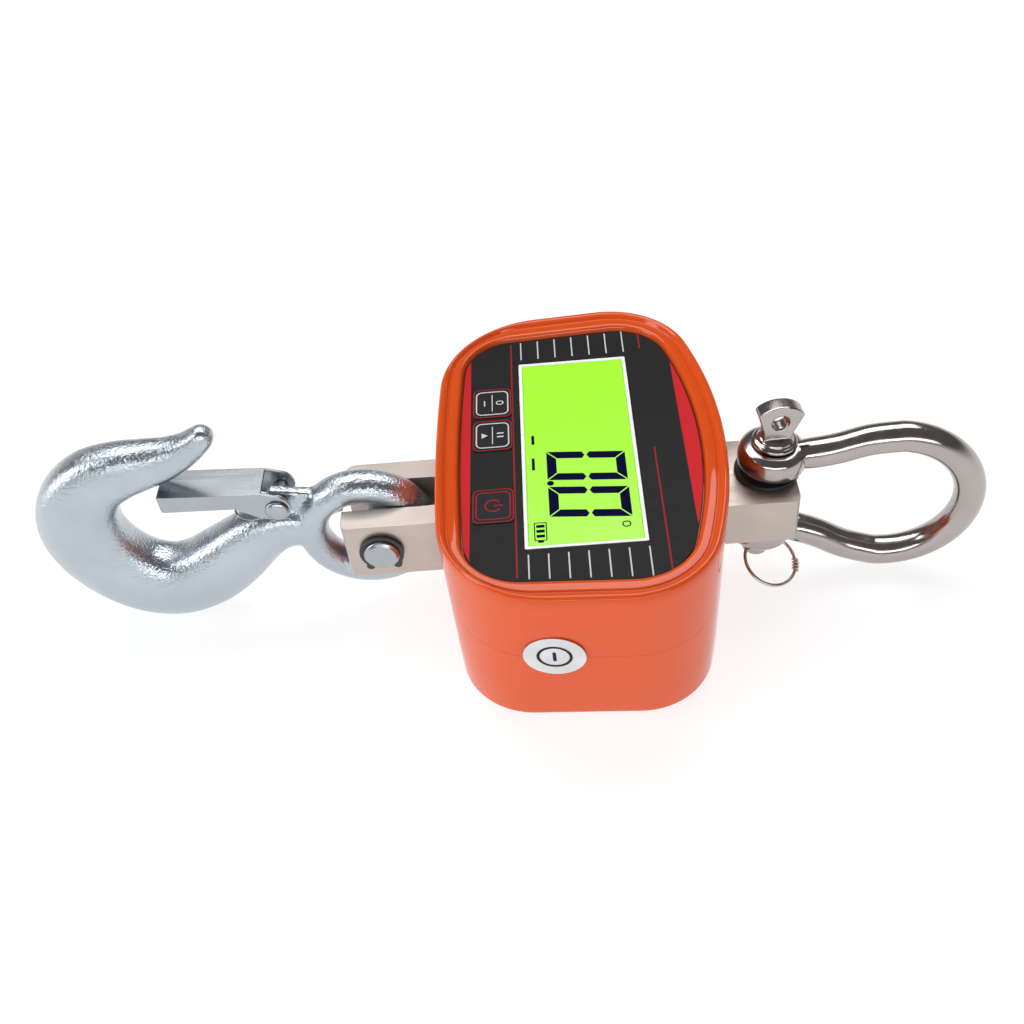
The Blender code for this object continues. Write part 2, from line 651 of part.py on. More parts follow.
def sticker():
    """A round seal over the split line on the near wall."""
    x, z = STICKER_X, STICKER_Z
    lean = math.atan2(near_wall_y(x, z - 10) - near_wall_y(x, z + 10), 20)
    turn = math.atan2(near_wall_y(x + 9, z) - near_wall_y(x - 9, z), 18)
    shape = bmesh.new()
    radius = STICKER_RADIUS * MM
    bmesh.ops.create_cone(shape, cap_ends=True, segments=40, radius1=radius, radius2=radius, depth=0.2 * MM)
    disc = bpy.data.meshes.new("disc")
    shape.to_mesh(disc)
    shape.free()
    label = add_object("round_sticker", disc, "sticker_white")
    label.location = Vector((x, near_wall_y(x, z) - GAP - 0.1, z)) * MM
    label.rotation_euler = (math.pi / 2 + lean, 0, turn)


# ---------------------------------------------------------------- load cell

def load_cell():
    top, bottom = LOAD_Z + FORK_HALF_Z, LOAD_Z - FORK_HALF_Z
    middle = (FORK_END_X + LUG_END_X) / 2
    plan = rounded_box(middle, 0, LUG_END_X - FORK_END_X, 2 * BAR_HALF_Y, 3.5)
    bar = add_object("load_cell", prism(plan, bottom, top), "nickel_steel")
    lug_top, lug_bottom = LOAD_Z + LUG_HALF_Z, LOAD_Z - LUG_HALF_Z
    combine(bar, "DIFFERENCE", box(LUG_START_X, 90, -30, 30, lug_top, top + 1))
    combine(bar, "DIFFERENCE", box(LUG_START_X + 4, 90, -30, 30, bottom - 1, lug_bottom))
    slot = [(FORK_END_X - 5, SLOT_HALF)] + [(FORK_END_X - 5, -SLOT_HALF)]
    slot += arc(SLOT_END_X - SLOT_HALF, 0, SLOT_HALF, -90, 90, 12)
    combine(bar, "DIFFERENCE", prism(slot, bottom - 1, top + 1))
    combine(bar, "DIFFERENCE", rod(CLEVIS_RADIUS + GAP, -30, 30, (CLEVIS_X, 0, LOAD_Z), "Y", 28))
    combine(bar, "DIFFERENCE", rod(SHACKLE_PIN_RADIUS + 1.9, bottom, top, (SHACKLE_X, 0, 0), "Z", 28))
    for x in (-22.0, 8.0):
        combine(bar, "DIFFERENCE", rod(8.0, -30, 30, (x, 0, LOAD_Z), "Y"))
    combine(bar, "DIFFERENCE", box(-22, 8, -30, 30, LOAD_Z - 1.5, LOAD_Z + 1.5))
    for x in LOAD_CELL_SCREWS:
        combine(bar, "DIFFERENCE", seat(x, 2.9, bottom - 1, bottom + 9))


# ---------------------------------------------------------------- hook end

def clevis_pin():
    centre = (CLEVIS_X, 0, LOAD_Z)
    half, groove = CLEVIS_HALF_LENGTH, CLEVIS_RADIUS - 0.9
    profile = [(CLEVIS_RADIUS - 1.2, -half), (CLEVIS_RADIUS, -half + 1.0)]
    profile += [(CLEVIS_RADIUS, -CIRCLIP_Y - 0.7), (groove, -CIRCLIP_Y - 0.69)]
    profile += [(groove, -CIRCLIP_Y + 0.69), (CLEVIS_RADIUS, -CIRCLIP_Y + 0.7)]
    profile += [(radius, -y) for radius, y in reversed(profile)]
    add_object("clevis_pin", turned(profile, centre, "Y", 28), "zinc_steel", centre)
    for name, side in (("circlip_near", -1), ("circlip_far", 1)):
        circlip(name, side * CIRCLIP_Y, centre)


def circlip(name, y, centre):
    """An external retaining ring, open at the bottom with a lug at each end."""
    inner = CLEVIS_RADIUS - 0.6
    outside = arc(0, 0.35, inner + 2.3, -52, 232, 18)
    inside = arc(0, 0, inner, 238, -58, 18)
    points = [(centre[0] + u, centre[2] + v) for u, v in outside + inside]
    ring = add_object(name, prism(points, y - 0.5, y + 0.5, "Y"), "black_steel", centre)
    for angle in (-50, 230):
        turn = math.radians(angle)
        at_x = centre[0] + (inner + 1.9) * math.cos(turn)
        at_z = centre[2] + (inner + 1.9) * math.sin(turn)
        combine(ring, "UNION", rod(1.7, y - 0.5, y + 0.5, (at_x, 0, at_z), "Y", 12))


def hook_spine():
    """Stations down the hook: X, Z, half depth in the hook's plane, half thickness along Y."""
    return [
        (-106.0, 38.5, 8.5, 6.8),
        (-118.0, 40.8, 9.6, 7.8),
        (-130.0, 37.0, 12.0, 9.6),
        (-145.0, 25.6, 14.6, 11.4),
        (-158.0, 17.2, 15.6, 12.0),
        (-171.5, 14.2, 16.4, 12.4),
        (-185.0, 19.3, 16.8, 12.4),
        (-195.6, 32.0, 17.0, 12.0),
        (-199.8, 47.0, 16.8, 11.6),
        (-196.4, 61.2, 15.6, 11.0),
        (-187.6, 71.4, 13.6, 10.4),
        (-176.8, 76.2, 11.7, 9.6),
        (-166.0, 78.6, 10.0, 8.4),
        (-156.0, 80.8, 8.2, 7.2),
        (-147.6, 84.4, 6.4, 6.0),
        (-141.0, 89.0, 5.1, 5.0),
        (-138.2, 91.6, 4.0, 4.0),
        (-136.9, 92.9, 2.2, 2.2),
    ]


def hook_eye():
    """An oval torus, a little thicker along the pin than across it."""
    bpy.ops.mesh.primitive_torus_add(
        major_segments=30, minor_segments=12, major_radius=EYE_RADIUS * MM, minor_radius=EYE_WIRE * MM
    )
    guide = bpy.context.object
    data = guide.data
    bpy.data.objects.remove(guide)
    data.transform(Matrix.Diagonal((1, 1, EYE_HALF_Y / EYE_WIRE, 1)))
    data.transform(Matrix.Rotation(math.pi / 2, 4, "X"))
    data.transform(Matrix.Translation(Vector((EYE_X, 0, EYE_Z)) * MM))
    return data


def hook():
    stations = smooth_path(hook_spine(), 2)
    path = [(x, z) for x, z, _, _ in stations]
    widths = [(depth, thick) for _, _, depth, thick in stations]
    pivot = (CLEVIS_X, 0, LOAD_Z)
    body = add_object("hook", sweep(path, widths), "zinc_steel", pivot)
    combine(body, "UNION", hook_eye())
    lug = [(-123.0, 44.0), (-123.0, 59.0), (-120.6, 61.2), (-105.0, 58.3), (-94.0, 58.0), (-94.0, 47.0)]
    combine(body, "UNION", prism(lug, -2.5, 2.5, "Y"))
    combine(body, "DIFFERENCE", rod(2.8, -10, 10, (RIVET_X, 0, RIVET_Z), "Y"))
    return body


def latch():
    """A folded sheet channel: two cheeks pivoted on the rivet and a web that closes the throat."""
    pivot = (RIVET_X, 0, RIVET_Z)
    side = arc(RIVET_X - 0.6, RIVET_Z + 0.6, 6.2, -90, 70, 8)
    side += [(LATCH_HEEL_X, LATCH_HEEL_Z), (LATCH_TIP_X, LATCH_TIP_Z)]
    side += [(LATCH_TIP_X, LATCH_TIP_Z - 7.0), (LATCH_TIP_X + 0.8, LATCH_TIP_Z - 8.0)]
    side += [(-134.0, LATCH_TIP_Z - 9.0), (-126.0, RIVET_Z - 3.4)]
    channel = add_object("latch", prism(side, -LATCH_HALF_Y, LATCH_HALF_Y, "Y"), "zinc_steel", pivot)
    hollow = LATCH_HALF_Y - LATCH_SHEET
    under = [(-100, 30), (-100, 90), (LATCH_HEEL_X, 90), (LATCH_HEEL_X, LATCH_HEEL_Z - LATCH_SHEET)]
    under += [(LATCH_TIP_X - 3, LATCH_TIP_Z - LATCH_SHEET + 0.17), (LATCH_TIP_X - 3, 30)]
    combine(channel, "DIFFERENCE", prism(under, -hollow, hollow, "Y"))
    combine(channel, "DIFFERENCE", rod(2.8, -10, 10, pivot, "Y"))

    reach = LATCH_HALF_Y + GAP
    head = [(2.6, -reach - 1.7), (3.9, -reach - 1.3), (RIVET_HEAD, -reach - 0.6), (RIVET_HEAD, -reach)]
    head.append((2.5, -reach + 0.01))
    profile = head + [(radius, -y) for radius, y in reversed(head)]
    add_object("latch_rivet", turned(profile, pivot, "Y"), "zinc_steel", pivot)


def latch_spring():
    """A torsion spring wound on the rivet: one leg presses under the web, the other loops on the shank."""
    upper = [(-150.0, -3.6, 64.6), (-136.0, -3.6, 63.4), (-124.0, -3.6, 62.0)]
    coil = []
    for i in range(23):
        angle = math.radians(110 - 620 * i / 22)
        coil.append((RIVET_X + 3.5 * math.cos(angle), -3.6 - 2.3 * i / 22, RIVET_Z + 3.5 * math.sin(angle)))
    lower = [(-125.0, -6.2, 52.0), (-129.6, -6.2, 50.8), (-134.0, -5.0, 51.6)]
    lower += [(-136.0, -2.6, 51.8), (-136.4, 0.0, 51.4), (-134.8, 2.4, 51.0), (-131.6, 3.6, 51.2)]
    spring = wire_curve(upper + coil + lower, 0.5, 1)
    add_object("latch_spring", spring, "zinc_steel", (RIVET_X, 0, RIVET_Z))


# ---------------------------------------------------------------- shackle end

def shackle_axis():
    """An empty on the shackle pin's leaning axis, at the middle of the lug."""
    empty = bpy.data.objects.new("shackle_axis", None)
    PARTS.objects.link(empty)
    empty.location = Vector((SHACKLE_X, 0, LOAD_Z)) * MM
    empty.rotation_euler = (0, SHACKLE_TILT, 0)
    return empty


def ear_profile(low):
    return [
        (EAR_RADIUS - 2.4, low), (EAR_RADIUS - 0.5, low + 1.0), (EAR_RADIUS, low + 2.8),
        (EAR_RADIUS, low + EAR_THICK - 3.8), (EAR_RADIUS - 1.0, low + EAR_THICK - 1.4),
        (EAR_RADIUS - 3.4, low + EAR_THICK),
    ]


def shackle_bow(axis):
    """Round bar bent to a bow, with a flattened eye on each end."""
    leg = JAW_HALF + EAR_THICK / 2
    bends = [(4.0, leg), (12.0, leg + 0.7), (23.0, 22.6), (35.0, 28.0), (BOW_CENTRE, BOW_RADIUS)]
    half = smooth_path(bends, 3)
    upper = half + arc(BOW_CENTRE, 0, BOW_RADIUS, 90, 0, 9)[1:]
    path = upper + [(x, -z) for x, z in reversed(upper[:-1])]
    path = [(x, 0, z + JAW_SHIFT) for x, z in path]
    radii = [min(1.0, (EAR_THICK / 2 - 0.5 + (x - 4.0) * 0.12) / WIRE_RADIUS) for x, _, _ in path]
    bar = evaluated(wire_curve(path, WIRE_RADIUS, 5, radii=radii))
    bow = add_object("shackle_bow", bar, "stainless", parent=axis)
    ear = ear_profile(JAW_SHIFT + JAW_HALF)
    for profile in (ear, [(radius, 2 * JAW_SHIFT - z) for radius, z in reversed(ear)]):
        combine(bow, "UNION", turned(profile, (0, 0, 0), steps=26), axis)
    combine(bow, "DIFFERENCE", rod(SHACKLE_PIN_RADIUS + GAP, -40, 40, (0, 0, 0), "Z", 24), axis)
    jaw = box(-20, 14, -20, 20, JAW_SHIFT - JAW_HALF, JAW_SHIFT + JAW_HALF)
    combine(bow, "DIFFERENCE", jaw, axis)
    turn_about_axis(bow, BOW_SWING)


def turn_about_axis(part, angle):
    """Turns a part and its cutters together about the shackle pin's axis."""
    part.rotation_euler.z = angle
    for step in part.modifiers:
        step.object.rotation_euler.z = angle


def ring_direction():
    """Across the pin towards the ring's middle, and along the cross hole that the ring passes through."""
    heading = RING_HEADING - PIN_TURN
    outward = Vector((math.cos(heading), math.sin(heading), 0))
    return outward, Vector((-outward.y, outward.x, 0))


def shackle_pin(axis):
    """A screw pin: round shank, collar and a flat wing with an eye, and a cross hole for the ring."""
    collar = JAW_SHIFT + JAW_HALF + EAR_THICK + GAP
    tip = -JAW_HALF - EAR_THICK - 9.0
    neck = JAW_SHIFT - JAW_HALF - EAR_THICK - 0.4
    profile = [(PIN_TIP_RADIUS - 1.2, tip), (PIN_TIP_RADIUS, tip + 1.2), (PIN_TIP_RADIUS, neck - 0.7)]
    profile += [(SHACKLE_PIN_RADIUS, neck), (SHACKLE_PIN_RADIUS, collar), (8.2, collar + 0.01)]
    profile += [(8.6, collar + 0.8), (8.4, collar + 1.8), (6.4, collar + 2.8), (5.0, collar + 3.8)]
    pin = add_object("shackle_pin", turned(profile, (0, 0, 0), steps=26), "stainless", parent=axis)
    base, top = collar + 2.2, collar + 19.4
    wing = [(-4.8, base), (4.8, base), (6.0, base + 5.6), (8.7, top - 4.2)]
    wing += arc(0, top - 12.0, 12.0, 48, 132, 8)
    wing += [(-8.7, top - 4.2), (-6.0, base + 5.6)]
    combine(pin, "UNION", prism(wing, -3.1, 3.1, "Y"), axis)
    combine(pin, "DIFFERENCE", rod(3.1, -10, 10, (0, 0, base + 9.6), "Y", 18), axis)
    _, along = ring_direction()
    hole = rod(1.8, -10, 10, (0, 0, 0), "Y", 12)
    hole.transform(Matrix.Rotation(math.atan2(along.y, along.x) - math.pi / 2, 4, "Z"))
    hole.transform(Matrix.Translation((0, 0, -RING_HOLE_DROP * MM)))
    combine(pin, "DIFFERENCE", hole, axis)
    turn_about_axis(pin, PIN_TURN)
    return pin


def safety_ring(pin):
    """A sprung wire ring through the pin's cross hole, drooping outwards."""
    outward, along = ring_direction()
    hole = Vector((0, 0, -RING_HOLE_DROP))
    across = outward * math.cos(RING_DROOP) - Vector((0, 0, math.sin(RING_DROOP)))
    centre = hole + across * (RING_RADIUS - 0.7)
    points = []
    for u, v in circle(0, 0, RING_RADIUS, 32):
        points.append(tuple(centre + across * u + along * v))
    add_object("safety_ring", wire_curve(points, RING_WIRE, 1, cyclic=True), "stainless", hole, pin)


def spacer_washer():
    low = LOAD_Z + LUG_HALF_Z + GAP
    profile = [(12.2, low), (12.6, low + 0.4), (12.6, low + 1.3), (12.2, low + 1.7)]
    ring = add_object("spacer_washer", turned(profile, (SHACKLE_X, 0, 0), steps=26), "rubber")
    combine(ring, "DIFFERENCE", rod(8.2, low - 1, low + 4, (SHACKLE_X, 0, 0), steps=26))


# ---------------------------------------------------------------- assembly

def build():
    front_housing()
    rear_housing()
    gaskets()
    seals()
    fasteners()
    display()
    keys()
    circuit_board()
    battery()
    cables()
    sticker()
    load_cell()
    clevis_pin()
    hook()
    latch()
    latch_spring()
    axis = shackle_axis()
    shackle_bow(axis)
    pin = shackle_pin(axis)
    safety_ring(pin)
    spacer_washer()


clear_scene()
PARTS = new_collection("hanging_scale")
CUTTERS = new_collection("cutters")
CUTTERS.hide_render = True
build()
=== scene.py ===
"""Render scene of a hanging scale lying on its back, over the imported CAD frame.

X runs from the hook to the shackle, Z is up out of the display, and the origin is the middle of the
case's rear face. Sizes are in mm and turn into metres where a mesh is made. The case, overlay, hook,
latch spring, bow, screw pin and ring are rebuilt here with finer sections. The bar, clevis pin, latch,
rivet, keys, lens, bezel and washer are copied from the CAD with their edges rounded. The other CAD
nodes only get a finish.
"""

import json
import math

import bmesh
import bpy
from mathutils import Matrix, Vector


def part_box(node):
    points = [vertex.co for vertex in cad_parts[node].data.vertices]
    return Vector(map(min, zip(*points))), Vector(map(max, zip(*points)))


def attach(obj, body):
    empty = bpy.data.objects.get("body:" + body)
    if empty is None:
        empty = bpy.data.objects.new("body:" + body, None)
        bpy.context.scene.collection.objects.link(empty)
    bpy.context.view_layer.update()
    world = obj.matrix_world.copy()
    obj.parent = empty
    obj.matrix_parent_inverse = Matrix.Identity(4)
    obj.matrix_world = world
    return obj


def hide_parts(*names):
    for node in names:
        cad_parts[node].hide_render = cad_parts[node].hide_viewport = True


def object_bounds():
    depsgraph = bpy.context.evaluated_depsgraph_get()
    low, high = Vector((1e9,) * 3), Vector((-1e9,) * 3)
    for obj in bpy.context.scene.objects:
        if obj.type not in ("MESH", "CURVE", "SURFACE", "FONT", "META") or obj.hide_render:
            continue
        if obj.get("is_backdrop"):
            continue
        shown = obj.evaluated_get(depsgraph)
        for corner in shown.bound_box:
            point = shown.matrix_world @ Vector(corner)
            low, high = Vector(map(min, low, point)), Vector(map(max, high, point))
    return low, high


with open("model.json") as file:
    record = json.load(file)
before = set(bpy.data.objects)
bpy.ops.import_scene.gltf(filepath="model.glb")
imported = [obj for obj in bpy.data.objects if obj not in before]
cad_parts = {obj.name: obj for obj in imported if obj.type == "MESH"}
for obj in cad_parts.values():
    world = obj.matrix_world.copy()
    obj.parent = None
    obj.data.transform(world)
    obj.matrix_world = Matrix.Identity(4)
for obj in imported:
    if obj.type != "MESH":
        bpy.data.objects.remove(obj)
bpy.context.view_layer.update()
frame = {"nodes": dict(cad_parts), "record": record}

MM = 0.001

# Levels above the rear face
REAR_Z = 0.0
LOAD_Z = 40.0                # bar's axis, and the split between the housings
CEILING_Z = 68.3             # inside of the front housing
FLOOR_Z = 69.9               # floor of the recess that the overlay is glued in
PANEL_Z = 71.0               # top of the overlay
RIM_Z = 74.1                 # top of the rim round it
GLASS_Z = PANEL_Z - 0.3

# Plan outline of the display overlay, and how far the housings stand out from it
HOOK_SIDE_X, HOOK_SIDE_RADIUS = -45.1, 800.0
SHACKLE_SIDE_X, SHACKLE_SIDE_RADIUS = 45.5, 185.0
SIDE_Y = 68.2
SIDE_SLOPE = math.radians(3.4)
HOOK_CORNER, SHACKLE_CORNER = 20.0, 22.0
RIM_GROWTH = (9.3, 11.5, 23.0, 13.0)      # at the ends, the sides, the hook corners, the shackle corners
REAR_GROWTH = (7.2, 5.2, 9.0, 6.0)
WALL = 3.2
REAR_ROUND = 3.6             # radius of the rear face's edge
GAP = 0.3
SEAM = 0.1                   # open line between the two shells
OPENING_MARGIN = 3.0         # from the bar to the edge of the wall opening it leaves by

# Load cell and hook
BAR_HALF_Y, FORK_HALF_Z, LUG_HALF_Z = 18.2, 13.15, 10.4
EYE_X, EYE_Z, EYE_RADIUS = -86.4, 36.2, 22.2
EYE_WIRE, EYE_HALF_Y = 6.6, 7.4
RIVET_X, RIVET_Z = -118.0, 56.4
SPRING_WIRE = 0.5            # radius, as are the ring's and the bow's

# Shackle
SHACKLE_X = 72.0
SHACKLE_TILT = math.radians(4.5)
BOW_SWING = math.radians(-6.0)
PIN_TURN = math.radians(6.0)
WIRE_RADIUS = 6.0
JAW_HALF, JAW_SHIFT = 13.4, 0.4
EAR_RADIUS, EAR_THICK = 13.1, 10.6
BOW_RADIUS, BOW_CENTRE = 30.7, 47.0
RING_RADIUS, RING_WIRE = 11.0, 0.7
RING_HEADING = math.radians(-55)
RING_DROOP = math.radians(24)
RING_HOLE_DROP = 28.6

# Display and keys
LCD_X, LCD_Y, LCD_CORNER = 44.0, 104.2, 0.6
KEY_X, KEY_Y, KEY_CENTRE_X = 15.6, 17.6, -32.6
KEY_ROWS = {"tare_key": 28.2, "hold_key": 9.0, "power_key": -29.4}
KEY_TOP_Z = PANEL_Z + 0.3
INK_THICK = 0.04
INK_LIFT = 0.05              # how far the top of a print stands above its surface
DIGIT_FOOT_X, DIGIT_TOP_X = -12.4, 17.0
DIGIT_NEAR_Y = [-17.6, -36.6]
DIGIT_WIDTH, DIGIT_STROKE, DIGIT_LEAN = 15.4, 3.6, 0.09
TICKS, TICK_PITCH = 7, 7.0
TICK_START_X, TICK_START_Y = -20.5, 54.6
TICK_MARGIN, TICK_SLOPE = 1.1, 0.055      # from the overlay's side, and about how that side leans
HOUSING_SCREWS = [(-37.0, -58.0), (-37.0, 58.0), (36.0, 58.5), (36.0, -58.5)]
SCREW_RECESS = 4.3
LOAD_CELL_SCREWS = [24.0, 36.0]
BATTERY_X, BATTERY_Y = 0.0, -42.6


# ---------------------------------------------------------------- materials

class Nodes:
    """A material's node tree, with short calls for the nodes used here."""

    def __init__(self, name, colour, roughness, metallic=0.0):
        self.made = bpy.data.materials.new(name)
        self.made.use_nodes = True
        self.tree = self.made.node_tree
        self.shader = self.tree.nodes["Principled BSDF"]
        self.shader.inputs["Base Color"].default_value = (*colour, 1.0)
        self.shader.inputs["Roughness"].default_value = roughness
        self.shader.inputs["Metallic"].default_value = metallic
        self.place = self.tree.nodes.new("ShaderNodeTexCoord").outputs["Object"]

    def noise(self, size_mm, detail=3.0, stretch=(1, 1, 1)):
        """Noise with features about size_mm across, drawn out along an axis by a small stretch value."""
        mapping = self.tree.nodes.new("ShaderNodeMapping")
        mapping.inputs["Scale"].default_value = stretch
        self.tree.links.new(self.place, mapping.inputs["Vector"])
        made = self.tree.nodes.new("ShaderNodeTexNoise")
        made.inputs["Scale"].default_value = 1000.0 / size_mm
        made.inputs["Detail"].default_value = detail
        self.tree.links.new(mapping.outputs["Vector"], made.inputs["Vector"])
        return made.outputs["Fac"]

    def ramp(self, source, low, high, at_low=0.3, at_high=0.7):
        """Maps a noise to a value or a colour between low and high."""
        made = self.tree.nodes.new("ShaderNodeValToRGB")
        made.color_ramp.elements[0].position = at_low
        made.color_ramp.elements[1].position = at_high
        for element, value in zip(made.color_ramp.elements, (low, high)):
            element.color = (*value, 1.0) if isinstance(value, tuple) else (value, value, value, 1.0)
        self.tree.links.new(source, made.inputs["Fac"])
        return made.outputs["Color"]

    def colour(self, source, low, high, at_low=0.3, at_high=0.7):
        self.tree.links.new(self.ramp(source, low, high, at_low, at_high), self.shader.inputs["Base Color"])

    def roughness(self, source, low, high, at_low=0.3, at_high=0.7):
        self.tree.links.new(self.ramp(source, low, high, at_low, at_high), self.shader.inputs["Roughness"])

    def bump(self, source, height_mm, strength=1.0):
        made = self.tree.nodes.new("ShaderNodeBump")
        made.inputs["Distance"].default_value = height_mm * MM
        made.inputs["Strength"].default_value = strength
        self.tree.links.new(source, made.inputs["Height"])
        self.tree.links.new(made.outputs["Normal"], self.shader.inputs["Normal"])


def paint():
    """Powder coat: a faint orange peel under a hard gloss."""
    made = Nodes("case_orange", (0.71, 0.084, 0.010), 0.4)
    made.colour(made.noise(40), (0.70, 0.081, 0.009), (0.72, 0.087, 0.011))
    made.roughness(made.noise(9), 0.38, 0.46)
    made.bump(made.noise(3.0, 0), 0.01, 0.12)
    made.shader.inputs["Specular IOR Level"].default_value = 0.0
    made.shader.inputs["Coat Weight"].default_value = 0.8
    made.shader.inputs["Coat Roughness"].default_value = 0.04
    return made.made


def film(name, colour, roughness=0.42, gloss=0.12):
    """Printed overlay film with a fine grain."""
    made = Nodes(name, colour, roughness)
    light = tuple(min(1.0, c * 1.12 + 0.002) for c in colour)
    made.colour(made.noise(0.5, 2), colour, light)
    made.roughness(made.noise(4), roughness - 0.05, roughness + 0.07)
    made.bump(made.noise(0.35, 2), 0.008, 0.3)
    made.shader.inputs["Specular IOR Level"].default_value = gloss
    return made.made


def zinc(name, colour, rough=0.18, grain=1.1, height=0.34):
    """Zinc plating over a forged skin: shallow pits about a mm across that catch the light."""
    made = Nodes(name, colour, rough, 0.95)
    dark = tuple(c * 0.9 for c in colour)
    made.colour(made.noise(25, 4), dark, colour)
    made.roughness(made.noise(9, 4), rough - 0.05, rough + 0.08)
    made.bump(made.noise(grain, 4), height, 1.0)
    return made.made


def polished(name, colour, rough=0.12, stretch=(1, 1, 1)):
    """Polished bar with faint draw lines and a soft haze."""
    made = Nodes(name, colour, rough, 1.0)
    made.colour(made.noise(12, 3), tuple(c * 0.92 for c in colour), colour)
    made.roughness(made.noise(5, 4, stretch), rough - 0.03, rough + 0.10)
    made.bump(made.noise(0.8, 3, stretch), 0.01, 0.35)
    return made.made


def milled(name, colour):
    """Nickel plate over a milled face, with lines along the load."""
    made = Nodes(name, colour, 0.36, 0.85)
    made.colour(made.noise(14, 4), tuple(c * 0.93 for c in colour), colour)
    made.roughness(made.noise(2, 3, (0.05, 1, 1)), 0.30, 0.44)
    made.bump(made.noise(0.5, 3, (0.06, 1, 1)), 0.012, 0.35)
    return made.made


def moulded(name, colour, roughness, size_mm=0.6):
    """Moulded plastic or rubber with a fine spark texture."""
    made = Nodes(name, colour, roughness)
    light = tuple(min(1.0, c * 1.15 + 0.003) for c in colour)
    made.colour(made.noise(8), colour, light)
    made.roughness(made.noise(3), max(0.05, roughness - 0.06), min(1.0, roughness + 0.06))
    made.bump(made.noise(size_mm, 3), 0.02, 0.4)
    return made.made


def lit_screen():
    """The backlit display: an even green glow behind a smooth lens."""
    made = Nodes("lcd_green", (0.17, 0.45, 0.012), 0.3)
    made.colour(made.noise(40), (0.165, 0.44, 0.011), (0.175, 0.46, 0.013))
    made.roughness(made.noise(10), 0.2, 0.26)
    made.bump(made.noise(0.4, 2), 0.002, 0.2)
    made.shader.inputs["Emission Color"].default_value = (0.55, 1.35, 0.035, 1.0)
    made.shader.inputs["Emission Strength"].default_value = 0.42
    return made.made


LOOKS = {
    "case_orange": paint(),
    "overlay_black": film("overlay_black", (0.011, 0.011, 0.012)),
    "key_black": film("key_black", (0.014, 0.014, 0.016)),
    "print_red": film("print_red", (0.56, 0.010, 0.014)),
    "line_red": film("line_red", (0.30, 0.012, 0.014)),
    "print_white": film("print_white", (0.62, 0.62, 0.62)),
    "digit_navy": film("digit_navy", (0.001, 0.001, 0.030), 0.4, 0.02),
    "white_plastic": moulded("white_plastic", (0.88, 0.89, 0.87), 0.4),
    "lcd_green": lit_screen(),
    "nickel_steel": milled("nickel_steel", (0.53, 0.465, 0.42)),
    "zinc_steel": zinc("zinc_steel", (0.49, 0.545, 0.595)),
    "zinc_sheet": polished("zinc_sheet", (0.41, 0.44, 0.47), 0.24, (0.08, 1, 1)),
    "stainless": polished("stainless", (0.44, 0.405, 0.39), 0.12),
    "nickel_wire": polished("nickel_wire", (0.56, 0.47, 0.41), 0.16),
    "black_steel": moulded("black_steel", (0.02, 0.02, 0.02), 0.35),
    "rubber": moulded("rubber", (0.014, 0.014, 0.014), 0.5),
    "board_green": moulded("board_green", (0.02, 0.16, 0.06), 0.45),
    "switch_black": moulded("switch_black", (0.04, 0.04, 0.04), 0.5),
    "cell_wrap": moulded("cell_wrap", (0.09, 0.11, 0.15), 0.35),
    "wire_red": moulded("wire_red", (0.6, 0.03, 0.02), 0.45),
    "wire_black": moulded("wire_black", (0.02, 0.02, 0.02), 0.45),
    "cable_grey": moulded("cable_grey", (0.33, 0.33, 0.34), 0.5),
    "sticker_white": moulded("sticker_white", (0.62, 0.62, 0.64), 0.35, 2.0),
}


# ---------------------------------------------------------------- pieces and meshes

def piece(name, data, look, body="case", stands_for=(), smooth=35, place=None):
    """One visible piece: named, finished, shaded smooth below an angle, and riding on a CAD body."""
    obj = bpy.data.objects.new(name, data)
    bpy.context.scene.collection.objects.link(obj)
    data.materials.clear()
    data.materials.append(LOOKS[look])
    if isinstance(data, bpy.types.Mesh):
        data.shade_smooth()
        data.set_sharp_from_angle(angle=math.radians(smooth))
    if place:
        obj.matrix_world = place
    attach(obj, body)
    if stands_for:
        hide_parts(*stands_for)
    return obj


def cleaned(build):
    """The mesh of a bmesh, welded and with its faces turned outwards."""
    bmesh.ops.remove_doubles(build, verts=build.verts, dist=0.002 * MM)
    bmesh.ops.recalc_face_normals(build, faces=build.faces)
    data = bpy.data.meshes.new("mesh")
    build.to_mesh(data)
    build.free()
    return data


def loft(rings, loop=False):
    """Skins equal rings of points, capped at both ends or closed into a loop."""
    count = len(rings[0])
    build = bmesh.new()
    made = [[build.verts.new(Vector(p) * MM) for p in ring] for ring in rings]
    for i in range(len(rings) if loop else len(rings) - 1):
        a, b = made[i], made[(i + 1) % len(rings)]
        for j in range(count):
            k = (j + 1) % count
            build.faces.new((a[j], a[k], b[k], b[j]))
    if not loop:
        build.faces.new(made[0])
        build.faces.new(made[-1])
    return cleaned(build)


def plate(outline, low, high):
    """A flat outline made into a plate from low to high along Z."""
    return loft([[(x, y, low) for x, y in outline], [(x, y, high) for x, y in outline]])


def arc(cx, cy, radius, start, end, steps):
    """Points along an arc, with both ends. The angles are in degrees."""
    points = []
    for i in range(steps + 1):
        turn = math.radians(start + (end - start) * i / steps)
        points.append((cx + radius * math.cos(turn), cy + radius * math.sin(turn)))
    return points


def circle(cx, cy, radius, steps):
    """Points round a circle, without repeating the first."""
    return arc(cx, cy, radius, 0, 360 - 360 / steps, steps - 1)


def rounded_box(cx, cy, width, height, radius, steps=6):
    """The outline of a rectangle with round corners."""
    points = []
    for sx, sy, start in ((1, 1, 0), (-1, 1, 90), (-1, -1, 180), (1, -1, 270)):
        corner_x = cx + sx * (width / 2 - radius)
        corner_y = cy + sy * (height / 2 - radius)
        points += arc(corner_x, corner_y, radius, start, start + 90, steps)
    return points


